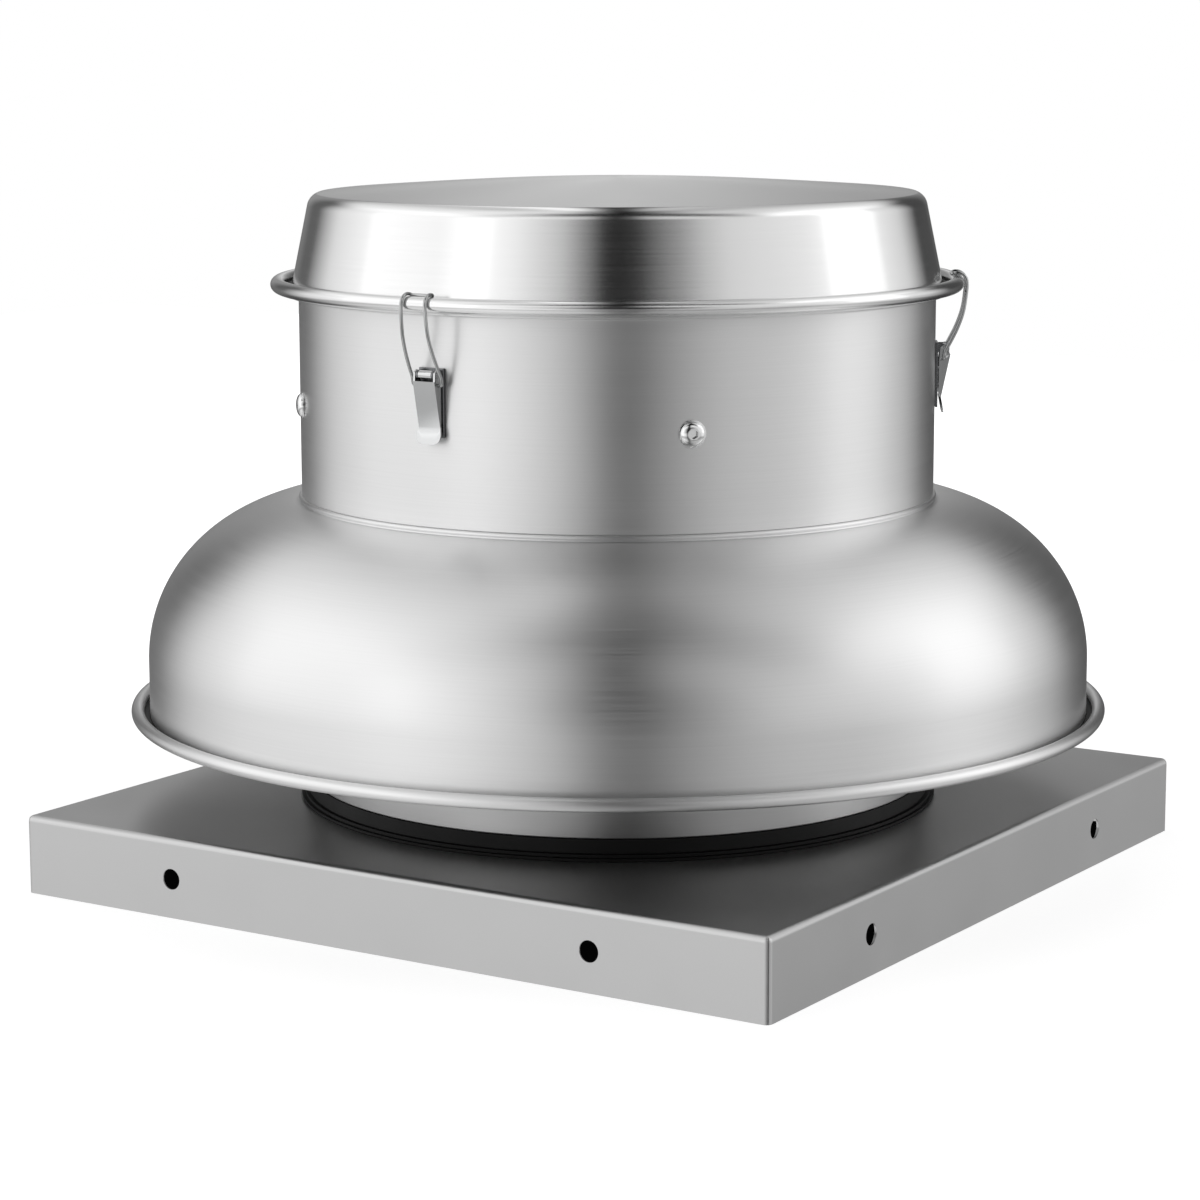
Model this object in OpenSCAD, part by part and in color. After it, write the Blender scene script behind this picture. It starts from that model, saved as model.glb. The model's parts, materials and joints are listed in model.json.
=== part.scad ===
// Roof exhaust fan, downblast type: a square curb cap carries an inlet ring, four posts hold the spun
// bell and the motor plate above it, and a latched lid closes the motor housing. Millimetres, +Z up,
// origin at the centre of the skirt's lower edge, sides of the cap along X and Y.

/* [Curb cap] */
// Side of the square curb cap
cap_w = 432; // [420:1:480]
// Height of the folded skirt
skirt_h = 40; // [34:1:60]
// Sheet thickness of the curb cap
cap_t = 2; // [1.5:0.1:2.5]
// Inside radius of the cap's folds
fold_r = 1; // [0.5:0.1:3]
// Spacing of the two anchor holes in each skirt face
anchor_pitch = 244; // [200:1:280]
// Diameter of the anchor holes
anchor_d = 10.4; // [8:0.1:13]
// Height of the anchor holes above the skirt's lower edge
anchor_z = 19.7; // [15:0.1:22]
// Space between the posts and the collar of the cap's air opening
throat_gap = 10; // [9:0.5:20]
// Height of the drawn collar round the air opening
collar_h = 7; // [4:0.5:10]

/* [Inlet] */
// Outside radius of the inlet ring
ring_r = 159.3; // [158.5:0.1:162]
// Height of the inlet ring
ring_h = 50; // [44:1:54]
// Sheet thickness of the spun and rolled sheet parts
sheet_t = 1.5; // [1.2:0.1:1.8]
// Height of the black seal under the ring
seal_h = 10; // [7:0.5:12]
// Distance that the seal's foot stands out past the ring
seal_foot = 5.2; // [3:0.1:7]
// Height of each of the two steps of the seal's foot
seal_step = 1.6; // [1.2:0.1:2.2]
// Distance from the posts' circle in to the inlet cone's throat
cone_inset = 58; // [56:1:70]
// Radius of the inlet cone's curve
cone_curve = 24; // [18:1:25]
// Straight lip above the inlet cone's curve
cone_lip = 4; // [3:0.5:5]

/* [Posts] */
// Distance of the posts' axes inside the face of the ring or the housing
post_inset = 13.3; // [12.3:0.1:14]
// Diameter of a post
post_d = 12; // [11:0.5:13]
// Diameter of the bolts at both ends of a post
post_bolt_d = 6; // [5:0.5:7]
// Outside diameter of the wiring chase
chase_d = 15; // [12:0.5:15]

/* [Bell] */
// Radius of the bell's wall
bell_r = 241.3; // [236:0.1:250]
// Height of the rim bead's centre above the cap
rim_h = 47.2; // [40:0.1:50]
// Radius of the rim bead
rim_bead = 3.25; // [2.5:0.05:4]
// Width of the trough between the bell's wall and its bead
rim_trough = 3; // [2:0.1:4]
// Height above the cap where the bell's dome begins
dome_h = 73.4; // [66:0.1:80]
// Height of the seam between bell and housing above the cap
seam_h = 156.5; // [152:0.5:166]
// Drop from the seam to the top of the dome
neck_h = 3.1; // [2.8:0.1:4]
// Radius of the small lip rolled round the neck
neck_lip = 1.15; // [0.8:0.05:1.3]

/* [Housing and lid] */
// Outside radius of the motor housing
housing_r = 161.9; // [161:0.1:164]
// Height of the lid bead's centre above the cap
lid_bead_h = 263.4; // [256:0.1:275]
// Radius of the lid's rolled bead
lid_bead = 3.67; // [3:0.01:4.2]
// Width of the trough between the lid's wall and its bead
lid_trough = 3.4; // [3.2:0.1:4.2]
// Height of the lid from its bead's centre to its top
lid_h = 53.6; // [46:0.1:64]
// Taper of the lid's wall in degrees
lid_taper = 11.8; // [8:0.1:14]
// Radius of the lid's shoulder
shoulder_r = 8; // [6:0.5:11]
// Rise of the lid's crown
crown_rise = 8.2; // [5:0.1:10]
// Height of the housing screws above the cap
screw_h = 204; // [196:0.5:208]
// Diameter of the housing screws' heads
screw_head_d = 13; // [11:0.5:14]
// Thickness of the gasket under the lid
gasket_t = 1.5; // [1:0.1:2]

/* [Latches] */
// Number of toggle latches round the housing
latch_count = 3; // [3:1:3]
// Direction of the first latch in degrees
latch_start = -90; // [-90:1:-80]
// Height of a latch's hinge pin above the cap
latch_pin_h = 230; // [228:0.1:231]
// Distance of the hinge pin from the housing's wall
latch_pin_out = 4.9; // [4.7:0.1:5.2]
// Radius of the hinge pin
latch_pin_r = 1.25; // [1:0.05:1.4]
// Distance from the hinge pin down to the bail's pivot
bail_drop = 5; // [4.6:0.1:5.4]
// Diameter of the bail's wire
wire_d = 1.7; // [1.5:0.05:1.8]
// Width of the lever
lever_w = 12.4; // [11.6:0.1:13]
// Length of the lever below its hinge pin
lever_len = 33; // [30:0.5:35]
// Sheet thickness of the latch parts
latch_t = 1; // [0.8:0.05:1.1]
// Width between the bail's legs at their pivots
bail_w = 16.6; // [16:0.1:18]

/* [Fan wheel] */
// Space between the fan wheel's edge and the posts
wheel_gap = 8; // [7:0.5:16]
// Number of backward curved blades
blade_count = 9; // [7:1:12]
// Thickness of a blade
blade_t = 2; // [1.5:0.1:2.5]
// Angle that a blade sweeps through from inlet to tip
blade_sweep = 32; // [24:1:38]
// Running gap between the inlet cone's lip and the wheel's eye
eye_gap = 2.5; // [2:0.1:4]
// Distance from the motor plate down to the wheel's back plate
wheel_drop = 18.5; // [16:0.5:22]
// Rise of the wheel's shroud from its eye to its edge
shroud_rise = 13; // [10:0.5:16]

/* [Motor] */
// Radius of the motor's shell
motor_r = 56; // [52:0.5:60]
// Height of the motor's shell
motor_h = 74; // [66:1:78]
// Number of cooling fins on the motor's shell
fin_count = 24; // [16:1:30]
// Depth of the cooling fins
fin_depth = 4; // [3:0.5:6]
// Diameter of the motor's shaft
shaft_d = 12; // [10:0.5:12.5]
// Height of the rubber isolators under the motor
isolator_h = 8; // [7:0.5:10]
// Radius of the circle of the isolators
isolator_circle = 74; // [72:0.5:77]
// Radius of the capacitor
capacitor_r = 17; // [15:0.5:18]
// Height of the capacitor
capacitor_h = 66; // [55:1:72]

/* [Junction box] */
// Depth of the junction box along the radius
box_d = 50; // [46:1:50]
// Width of the junction box
box_w = 72; // [60:1:74]
// Height of the junction box
box_h = 52; // [46:1:58]
// Wall thickness of the junction box
box_t = 1.5; // [1.2:0.1:2]
// Length of the switch toggle above its pivot
toggle_len = 15; // [12:0.5:18]
// Tilt of the toggle to its off side in degrees
toggle_tilt = 14; // [10:1:16]

/* [Hidden] */

$fn = 72;

// Overlap of a cutting solid past the face that it cuts
cut = 1;
// Play of a rivet, bolt or tube in its hole, on the radius
hole_play = 0.15;
// Running clearance of a pin or shaft in its bearing, on the radius
run_play = 0.05;
// Space left between pieces that slip inside each other
slip_gap = 0.3;

// Heights
cap_z = skirt_h;
ring_z = cap_z + seal_h;
deck_z = ring_z + ring_h;
seam_z = cap_z + seam_h;
rim_z = cap_z + rim_h;
lid_bead_z = cap_z + lid_bead_h;
lid_top_z = lid_bead_z + lid_h;
plate_t = 2.5;
plate_top = seam_z + plate_t;
screw_z = cap_z + screw_h;

// Posts, brackets and housing screws stand on the diagonals
POST_ANGLES = [45, 135, 225, 315];
post_circle = min(ring_r, housing_r) - post_inset;
throat_r = post_circle - post_d / 2 - throat_gap - cap_t;
bolt_r = post_bolt_d / 2;
bolt_head_r = bolt_r + 2.6;
bolt_head_h = 4;
bolt_len = 16;
post_top_z = seam_z - sheet_t;

// The junction box fits inside the housing's wall, and the wiring chase comes up through its floor
housing_in_r = housing_r - sheet_t;
box_gap = 1.2;
bush_lip = 2;
box_out_x = sqrt(pow(housing_in_r - box_gap, 2) - pow(box_w / 2, 2));
chase_r = chase_d / 2;
chase_at = min(post_circle - 3.5, box_out_x - box_t - chase_r - 1.75 * bush_lip);
chase_in_r = chase_at - chase_r;
chase_gap = 3;

// Inlet
ring_in_r = ring_r - sheet_t;
seal_in_r = ring_in_r - 4;
cone_r = post_circle - cone_inset;
cone_flange_r = chase_in_r - 1;
deck_in_r = cone_flange_r - 12;
cone_rivet_r = 1.6;
cone_rivet_head_r = 3.2;
cone_rivet_circle = (deck_in_r + cone_flange_r) / 2;
cone_rivet_count = 8;
cone_top_z = deck_z + cone_curve + cone_lip;

// Bell: its dome is a quarter ellipse between the wall and the neck
dome_r = housing_r - 3.6;
dome_z = cap_z + dome_h;
dome_a = bell_r - dome_r;
dome_b = seam_z - neck_h - dome_z;
neck_r = housing_r + 0.5;
bell_ring_r = chase_in_r - chase_gap;
rim_bead_r = bell_r + rim_trough + rim_bead;

// Housing and lid
housing_top_z = lid_bead_z - lid_bead - 0.1;
lid_base_z = housing_top_z + gasket_t;
lid_wall_r = housing_r + 3.4;
lid_bead_r = lid_wall_r + lid_trough + lid_bead;
housing_flange_r = lid_bead_r - lid_bead - 0.6;
shoulder_end = 69;
shoulder_z = lid_top_z - crown_rise - shoulder_r * sin(shoulder_end);
shoulder_at = lid_wall_r - shoulder_r / cos(lid_taper)
    - (shoulder_z - lid_base_z - sheet_t) * tan(lid_taper);
crown_power = 1.35;

// Housing brackets and screws
bracket_w = 20;
bracket_t = 2.5;
bracket_face = sqrt(pow(housing_in_r - slip_gap / 3, 2) - pow(bracket_w / 2, 2));
bracket_top_z = screw_z + 12;
nut_h = 6;
nut_r = 6;
screw_r = 3;
screw_socket_r = 2.3;

// Latches, in a frame where X runs along the housing and Y away from its axis
LATCH_ANGLES = [for (i = [0:latch_count - 1]) latch_start + i * 360 / latch_count];
latch_back = housing_r + 0.1;
latch_front = latch_back + 1.2 * latch_t;
latch_plate_w = 14;
hinge_y = housing_r + latch_pin_out;
hinge_z = cap_z + latch_pin_h;
pivot_y = hinge_y - 0.8;
pivot_z = hinge_z - bail_drop;
wire_r = wire_d / 2;
ear_in = 3.9;
ear_out = ear_in + 1.1 * latch_t;
cheek_in = ear_out + slip_gap;
cheek_out = lever_w / 2;
latch_plate_top = hinge_z + 3;
latch_plate_low = hinge_z - lever_len + 3;
rivet_drop_1 = 12;
rivet_drop_2 = 20;
latch_rivet_r = 1.4;
lever_gap = 0.7;
bail_wrap = lid_bead + wire_r + 0.35;
bail_bar = 122;

// Fan wheel
wheel_r = min(post_circle - post_d / 2 - wheel_gap, chase_in_r - chase_gap);
wheel_back_z = seam_z - wheel_drop;
back_t = 2;
eye_r = cone_r + sheet_t + eye_gap;
eye_z = cone_top_z - 8;
blade_in_r = eye_r + 3;
blade_out_r = wheel_r - 1;
blade_lead = 165;
hub_r = 17;
hub_h = 26;
hub_flange_r = 30;
shaft_r = shaft_d / 2;

// Motor
foot_z = plate_top + isolator_h;
foot_t = 8;
shell_z = foot_z + foot_t;
top_cover_z = shell_z + motor_h;
shell_t = 3;
bearing_r = 16;
bearing_h = 8;
cover_h = 8;
cover_edge = 5;
ear_t = 5;
ear_r = 9;
isolator_bolt_r = 2.5;
tie_at = motor_r - 14;
tie_r = 2;
winding_w = 5.5;
stator_in_r = tie_at - tie_r - winding_w - 1.5;
stator_h = 40;
stator_z = shell_z + 17;
air_gap = 0.7;
winding_h = 9;
ISOLATOR_ANGLES = [0, 90, 180, 270];

// Junction box, against the housing on the -X side, above the wiring chase
box_wall_x = box_out_x - box_d;
box_screw_r = 1.5;
box_screw_at = box_w / 2 - 6;
box_z = plate_top;
box_top_z = box_z + box_h;
switch_w = 16;
switch_l = 30;
switch_h = 22;
toggle_x = -(box_out_x - box_d / 2);
toggle_pivot_z = box_top_z - 3;
switch_slot_l = 12;
toggle_r = 2.4;
CAPACITOR_AT = [0.605 * housing_r, -0.321 * housing_r];
clamp_h = 12;
clamp_z = plate_top + capacitor_h / 3;
lead_r = 3.5;
lead_z = box_z + 0.6 * box_h;

// Points on an arc of an ellipse
function oval(x, y, a, b, from, to, steps) =
    [for (i = [0:steps]) let (t = from + (to - from) * i / steps) [x + a * cos(t), y + b * sin(t)]];

// Unit vector, and a vector turned square to a direction
function unit(v) = v / norm(v);
function square_to(v, dir) = unit(v - dir * (v * dir));
function heading(p, i) = unit(p[min(i + 1, len(p) - 1)] - p[max(i - 1, 0)]);

// Smooth curve through hand-set points
function spline_at(a, b, c, d, t) = 0.5 * (2 * b + (c - a) * t + (2 * a - 5 * b + 4 * c - d) * t * t
    + (3 * b - a - 3 * c + d) * t * t * t);
function smooth(p, steps) = concat([for (i = [0:len(p) - 2]) for (k = [0:steps - 1])
    spline_at(p[max(i - 1, 0)], p[i], p[i + 1], p[min(i + 2, len(p) - 1)], k / steps)], [p[len(p) - 1]]);

// Round wire or cable swept along a path
module swept_wire(path, r, sides) {
    count = len(path);
    sides_on = [for (i = 0, v = square_to([0.31, 0.83, 0.46], heading(path, 0)); i < count;
        i = i + 1, v = i < count ? square_to(v, heading(path, i)) : v) v];
    rings = [for (i = [0:count - 1]) for (k = [0:sides - 1])
        let (side = sides_on[i], up = cross(heading(path, i), side), t = 360 * k / sides)
        path[i] + r * (cos(t) * side + sin(t) * up)];
    skin = [for (i = [0:count - 2]) for (k = [0:sides - 1]) for (half = [0, 1])
        let (a = i * sides + k, b = i * sides + (k + 1) % sides)
        half == 0 ? [a, a + sides, b] : [b, a + sides, b + sides]];
    low_end = [[for (k = [0:sides - 1]) k]];
    high_end = [[for (k = [0:sides - 1]) count * sides - 1 - k]];
    polyhedron(points = rings, faces = concat(skin, low_end, high_end));
}

// Copies of a piece round the Z axis
module at_angles(angles, radius = 0) {
    for (a = angles)
        rotate([0, 0, a])
            translate([radius, 0, 0])
                children();
}

// Upright round hole or pin from one height to another
module round_z(r, from, to) {
    translate([0, 0, from])
        cylinder(r = r, h = to - from);
}

// Rolled bead: a ring of round section round the Z axis
module round_ring(at, z, r) {
    rotate_extrude()
        translate([at, z])
            circle(r);
}

// Flat-topped bolt head with a flange
module flange_head(r, h) {
    cylinder(r = r, h = h * 0.35);
    cylinder(r = r * 0.78, h = h, $fn = 6);
}

// Bar along X whose two long upper edges are rounded
module fold_bar(side, top, r) {
    rotate([90, 0, 90])
        linear_extrude(height = side, center = true) {
            translate([-side / 2, 0])
                square([side, top - r]);
            translate([-side / 2 + r, 0])
                square([side - 2 * r, top]);
            for (s = [-1, 1])
                translate([s * (side / 2 - r), top - r])
                    circle(r);
        }
}

// Square block with folded upper edges
module folded_block(side, top, r) {
    intersection() {
        fold_bar(side, top, r);
        rotate([0, 0, 90])
            fold_bar(side, top, r);
    }
}

module curb_cap() color("#a9abad") {
    difference() {
        folded_block(cap_w, skirt_h, fold_r + cap_t);
        translate([0, 0, -cut])
            folded_block(cap_w - 2 * cap_t, skirt_h - cap_t + cut, fold_r);
        round_z(throat_r, skirt_h / 2, skirt_h + cut);
        for (turn = [0, 90])
            rotate([0, 0, turn])
                for (s = [-1, 1])
                    translate([s * anchor_pitch / 2, 0, anchor_z])
                        rotate([90, 0, 0])
                            cylinder(d = anchor_d, h = cap_w + 2 * cut, center = true);
        at_angles(POST_ANGLES, post_circle)
            round_z(bolt_r + hole_play, skirt_h / 2, skirt_h + cut);
        translate([-chase_at, 0, 0])
            round_z(chase_r + hole_play, skirt_h / 2, skirt_h + cut);
    }
    rotate_extrude()
        translate([throat_r, cap_z - cap_t])
            square([cap_t, cap_t + collar_h]);
}

module throat_seal() color("#151515") {
    wall_r = ring_r + seal_foot * 0.25;
    step_r = ring_r + seal_foot * 0.65;
    rotate_extrude()
        polygon([[seal_in_r, cap_z], [ring_r + seal_foot, cap_z], [ring_r + seal_foot, cap_z + seal_step],
            [step_r, cap_z + seal_step], [step_r, cap_z + 2 * seal_step],
            [wall_r, cap_z + 2 * seal_step], [ring_r + 0.3, ring_z], [seal_in_r, ring_z]]);
}

module inlet_ring() color("#b4b6b8") {
    difference() {
        rotate_extrude()
            polygon([[seal_in_r, ring_z], [ring_r, ring_z], [ring_r, deck_z], [deck_in_r, deck_z],
                [deck_in_r, deck_z - sheet_t], [ring_in_r, deck_z - sheet_t],
                [ring_in_r, ring_z + sheet_t], [seal_in_r, ring_z + sheet_t]]);
        at_angles(POST_ANGLES, post_circle)
            round_z(post_d / 2 + hole_play, deck_z - sheet_t - cut, deck_z + cut);
        translate([-chase_at, 0, 0])
            round_z(chase_r + hole_play, deck_z - sheet_t - cut, deck_z + cut);
        at_angles([for (i = [0:cone_rivet_count - 1]) i * 360 / cone_rivet_count + 22.5], cone_rivet_circle)
            round_z(cone_rivet_r + hole_play, deck_z - sheet_t - cut, deck_z + cut);
    }
}

module inlet_cone() color("#c2c4c6") {
    curve_at = cone_r + cone_curve;
    curve_z = deck_z + cone_curve;
    difference() {
        rotate_extrude()
            polygon(concat(
                [[cone_flange_r, deck_z]],
                oval(curve_at, curve_z, cone_curve, cone_curve, 270, 180, 10),
                [[cone_r, cone_top_z], [cone_r + sheet_t, cone_top_z]],
                oval(curve_at, curve_z, cone_curve - sheet_t, cone_curve - sheet_t, 180, 270, 10),
                [[cone_flange_r, deck_z + sheet_t]]));
        at_angles([for (i = [0:cone_rivet_count - 1]) i * 360 / cone_rivet_count + 22.5], cone_rivet_circle)
            round_z(cone_rivet_r + hole_play, deck_z - cut, deck_z + sheet_t + cut);
    }
}

module cone_rivets() color("#9a9c9e") {
    at_angles([for (i = [0:cone_rivet_count - 1]) i * 360 / cone_rivet_count + 22.5], cone_rivet_circle) {
        round_z(cone_rivet_r, deck_z - sheet_t - 1, deck_z + sheet_t);
        round_z(cone_rivet_head_r, deck_z + sheet_t, deck_z + sheet_t + 1.2);
        round_z(cone_rivet_r + 0.9, deck_z - sheet_t - 1.4, deck_z - sheet_t);
    }
}

// One post, threaded at both ends for its bolts
module support_post(i) color("#8d9093") {
    rotate([0, 0, POST_ANGLES[i]])
        translate([post_circle, 0, 0])
            difference() {
                round_z(post_d / 2, cap_z, post_top_z);
                round_z(bolt_r + run_play, cap_z - cut, cap_z + bolt_len);
                round_z(bolt_r + run_play, post_top_z - bolt_len, post_top_z + cut);
            }
}

module post_base_bolts() color("#c9cbcd") {
    at_angles(POST_ANGLES, post_circle) {
        round_z(bolt_r, cap_z - cap_t - 1, cap_z + bolt_len - 4);
        translate([0, 0, cap_z - cap_t])
            mirror([0, 0, 1])
                flange_head(bolt_head_r, bolt_head_h);
    }
}

module post_top_bolts() color("#c9cbcd") {
    head_z = plate_top + bracket_t;
    at_angles(POST_ANGLES, post_circle) {
        round_z(bolt_r, post_top_z - bolt_len + 4, head_z + 1);
        translate([0, 0, head_z])
            flange_head(bolt_head_r, bolt_head_h);
    }
}

// Angle on the dome's ellipse for a given radius, with the ellipse moved in by a wall
function dome_turn(r, t) = acos((r - dome_r) / (dome_a - t));

module bell() color("#c6c8ca") {
    trough_z = rim_z - 1.6;
    neck_in = neck_r - sheet_t;
    difference() {
        union() {
            rotate_extrude()
                polygon(concat(
                    [[bell_ring_r, seam_z], [neck_r, seam_z]],
                    oval(dome_r, dome_z, dome_a, dome_b, dome_turn(neck_r, 0), 0, 28),
                    [[bell_r, trough_z], [rim_bead_r, trough_z], [rim_bead_r, trough_z - sheet_t],
                        [bell_r - sheet_t, trough_z - sheet_t]],
                    oval(dome_r, dome_z, dome_a - sheet_t, dome_b - sheet_t, 0,
                        dome_turn(neck_in, sheet_t), 28),
                    [[neck_in, seam_z - sheet_t], [bell_ring_r, seam_z - sheet_t]]));
            round_ring(rim_bead_r, rim_z, rim_bead);
            round_ring(neck_r - 0.2, seam_z - neck_lip - 0.1, neck_lip);
        }
        at_angles(POST_ANGLES, post_circle)
            round_z(bolt_r + hole_play, seam_z - sheet_t - cut, seam_z + cut);
        translate([-chase_at, 0, 0])
            round_z(chase_r + hole_play, seam_z - sheet_t - cut, seam_z + cut);
    }
}

module motor_plate() color("#9ea1a4") {
    difference() {
        round_z(housing_in_r - slip_gap, seam_z, plate_top);
        round_z(shaft_r + 14, seam_z - cut, plate_top + cut);
        at_angles(POST_ANGLES, post_circle)
            round_z(bolt_r + hole_play, seam_z - cut, plate_top + cut);
        at_angles(ISOLATOR_ANGLES, isolator_circle)
            round_z(isolator_bolt_r + hole_play, seam_z - cut, plate_top + cut);
        translate([-chase_at, 0, 0])
            round_z(chase_r + hole_play, seam_z - cut, plate_top + cut);
    }
}

module wiring_chase() color("#b9bbbd") {
    translate([-chase_at, 0, 0])
        difference() {
            round_z(chase_r, cap_z - cap_t - 4, plate_top + box_t + 6);
            round_z(chase_r - 1.2, cap_z - cap_t - 4 - cut, plate_top + box_t + 6 + cut);
        }
}

module motor_housing() color("#c3c5c7") {
    difference() {
        rotate_extrude()
            polygon([[housing_in_r, seam_z], [housing_r, seam_z], [housing_r, housing_top_z - sheet_t],
                [housing_flange_r, housing_top_z - sheet_t], [housing_flange_r, housing_top_z],
                [housing_in_r, housing_top_z]]);
        at_angles(POST_ANGLES)
            translate([housing_in_r - 3, 0, screw_z])
                rotate([0, 90, 0])
                    cylinder(r = screw_r + hole_play, h = 10);
        for (a = LATCH_ANGLES)
            for (drop = [rivet_drop_1, rivet_drop_2])
                rotate([0, 0, a])
                    translate([housing_in_r - 3, 0, hinge_z - drop])
                        rotate([0, 90, 0])
                            cylinder(r = latch_rivet_r + hole_play, h = 10);
    }
}

// Angle bracket that ties the housing's wall to the motor plate over a post
module housing_bracket(i) color("#a6a9ac") {
    foot_in = post_circle - 10;
    rotate([0, 0, POST_ANGLES[i]])
        difference() {
            union() {
                translate([foot_in, -bracket_w / 2, plate_top])
                    cube([bracket_face - foot_in, bracket_w, bracket_t]);
                translate([bracket_face - bracket_t, -bracket_w / 2, plate_top])
                    cube([bracket_t, bracket_w, bracket_top_z - plate_top]);
            }
            translate([post_circle, 0, 0])
                round_z(bolt_r + hole_play, plate_top - cut, plate_top + bracket_t + cut);
            translate([bracket_face - bracket_t - cut, 0, screw_z])
                rotate([0, 90, 0])
                    cylinder(r = screw_r + hole_play, h = bracket_t + 2 * cut);
        }
}

// Domed screw heads with a six-sided socket
module housing_screws() color("#d6d8da") {
    head_r = screw_head_d / 2;
    dome_h_screw = 3.4;
    seat = housing_r + 0.05;
    at_angles(POST_ANGLES)
        translate([seat, 0, screw_z])
            rotate([0, 90, 0])
                difference() {
                    union() {
                        translate([0, 0, bracket_face - bracket_t - nut_h - seat])
                            cylinder(r = screw_r, h = seat - bracket_face + bracket_t + nut_h + 0.5);
                        rotate_extrude()
                            polygon(concat([[0, 0], [head_r, 0], [head_r, 0.8]],
                                oval(0, 0.8, head_r - 0.7, dome_h_screw - 0.8, 0, 60, 8),
                                [[0, 0.8 + (dome_h_screw - 0.8) * sin(60)]]));
                    }
                    translate([0, 0, 1])
                        cylinder(r = screw_socket_r, h = dome_h_screw, $fn = 6);
                }
}

module housing_nuts() color("#bfc2c5") {
    at_angles(POST_ANGLES)
        translate([bracket_face - bracket_t - nut_h, 0, screw_z])
            rotate([0, 90, 0])
                difference() {
                    cylinder(r = nut_r, h = nut_h, $fn = 6);
                    translate([0, 0, -cut])
                        cylinder(r = screw_r + run_play, h = nut_h + 2 * cut);
                }
}

// Height of the crown's top face at a radius, and the lid's outline moved in by a wall
function crown_z(r, edge) = lid_top_z - crown_rise * pow(r / edge, crown_power);
function lid_outline(wall) =
    let (r = shoulder_r - wall, edge = shoulder_at + r * cos(shoulder_end))
    concat([[lid_wall_r - wall / cos(lid_taper), lid_base_z + sheet_t]],
        oval(shoulder_at, shoulder_z, r, r, lid_taper, shoulder_end, 8),
        [for (k = [7:-1:0]) [edge * k / 8, crown_z(edge * k / 8, edge) - wall]]);

module lid() color("#cfd1d3") {
    outer = lid_outline(0);
    inner = lid_outline(sheet_t);
    rotate_extrude()
        polygon(concat([[lid_bead_r, lid_base_z], [lid_bead_r, lid_base_z + sheet_t]], outer,
            [for (i = [len(inner) - 1:-1:0]) inner[i]],
            [[lid_wall_r - sheet_t / cos(lid_taper), lid_base_z]]));
    round_ring(lid_bead_r, lid_bead_z, lid_bead);
}

module lid_gasket() color("#1d1d1d") {
    rotate_extrude()
        translate([housing_in_r + 1, housing_top_z])
            square([housing_flange_r - housing_in_r - 1, gasket_t]);
}

// Place a piece drawn in a latch's frame
module on_latch(i) {
    rotate([0, 0, LATCH_ANGLES[i] - 90])
        children();
}

// Round bar along X in a latch's frame
module bar_x(r, half, y, z) {
    translate([-half, y, z])
        rotate([0, 90, 0])
            cylinder(r = r, h = 2 * half);
}

// Side plates of a latch part, from an outline in Y and Z
module cheeks(from, to) {
    for (s = [0, 1])
        mirror([s, 0, 0])
            translate([from, 0, 0])
                rotate([90, 0, 90])
                    linear_extrude(height = to - from)
                        children();
}

module latch_base(i) color("#b9bcbf") {
    on_latch(i)
        difference() {
            union() {
                translate([-latch_plate_w / 2, latch_back, latch_plate_low])
                    cube([latch_plate_w, latch_front - latch_back, latch_plate_top - latch_plate_low]);
                cheeks(ear_in, ear_out) {
                    translate([latch_front - 0.2, hinge_z - 2.2])
                        square([hinge_y - latch_front + 0.2, 4.4]);
                    translate([hinge_y, hinge_z])
                        circle(2.2);
                }
            }
            bar_x(latch_pin_r + run_play, ear_out + cut, hinge_y, hinge_z);
            for (drop = [rivet_drop_1, rivet_drop_2])
                translate([0, latch_back - cut, hinge_z - drop])
                    rotate([-90, 0, 0])
                        cylinder(r = latch_rivet_r + hole_play, h = 4);
        }
}

module latch_pins() color("#d2d4d6") {
    for (i = [0:latch_count - 1])
        on_latch(i) {
            bar_x(latch_pin_r, cheek_out + 0.5, hinge_y, hinge_z);
            bar_x(latch_pin_r + 0.8, ear_in - 0.2, hinge_y, hinge_z);
        }
}

module latch_rivets() color("#c4c6c8") {
    for (i = [0:latch_count - 1])
        for (drop = [rivet_drop_1, rivet_drop_2])
            on_latch(i)
                translate([0, housing_in_r - 1, hinge_z - drop])
                    rotate([-90, 0, 0]) {
                        cylinder(r = latch_rivet_r, h = latch_front - housing_in_r + 1);
                        translate([0, 0, latch_front - housing_in_r + 1])
                            cylinder(r = 2.6, h = 0.8);
                        cylinder(r = 2.2, h = 0.8);
                    }
}

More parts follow.
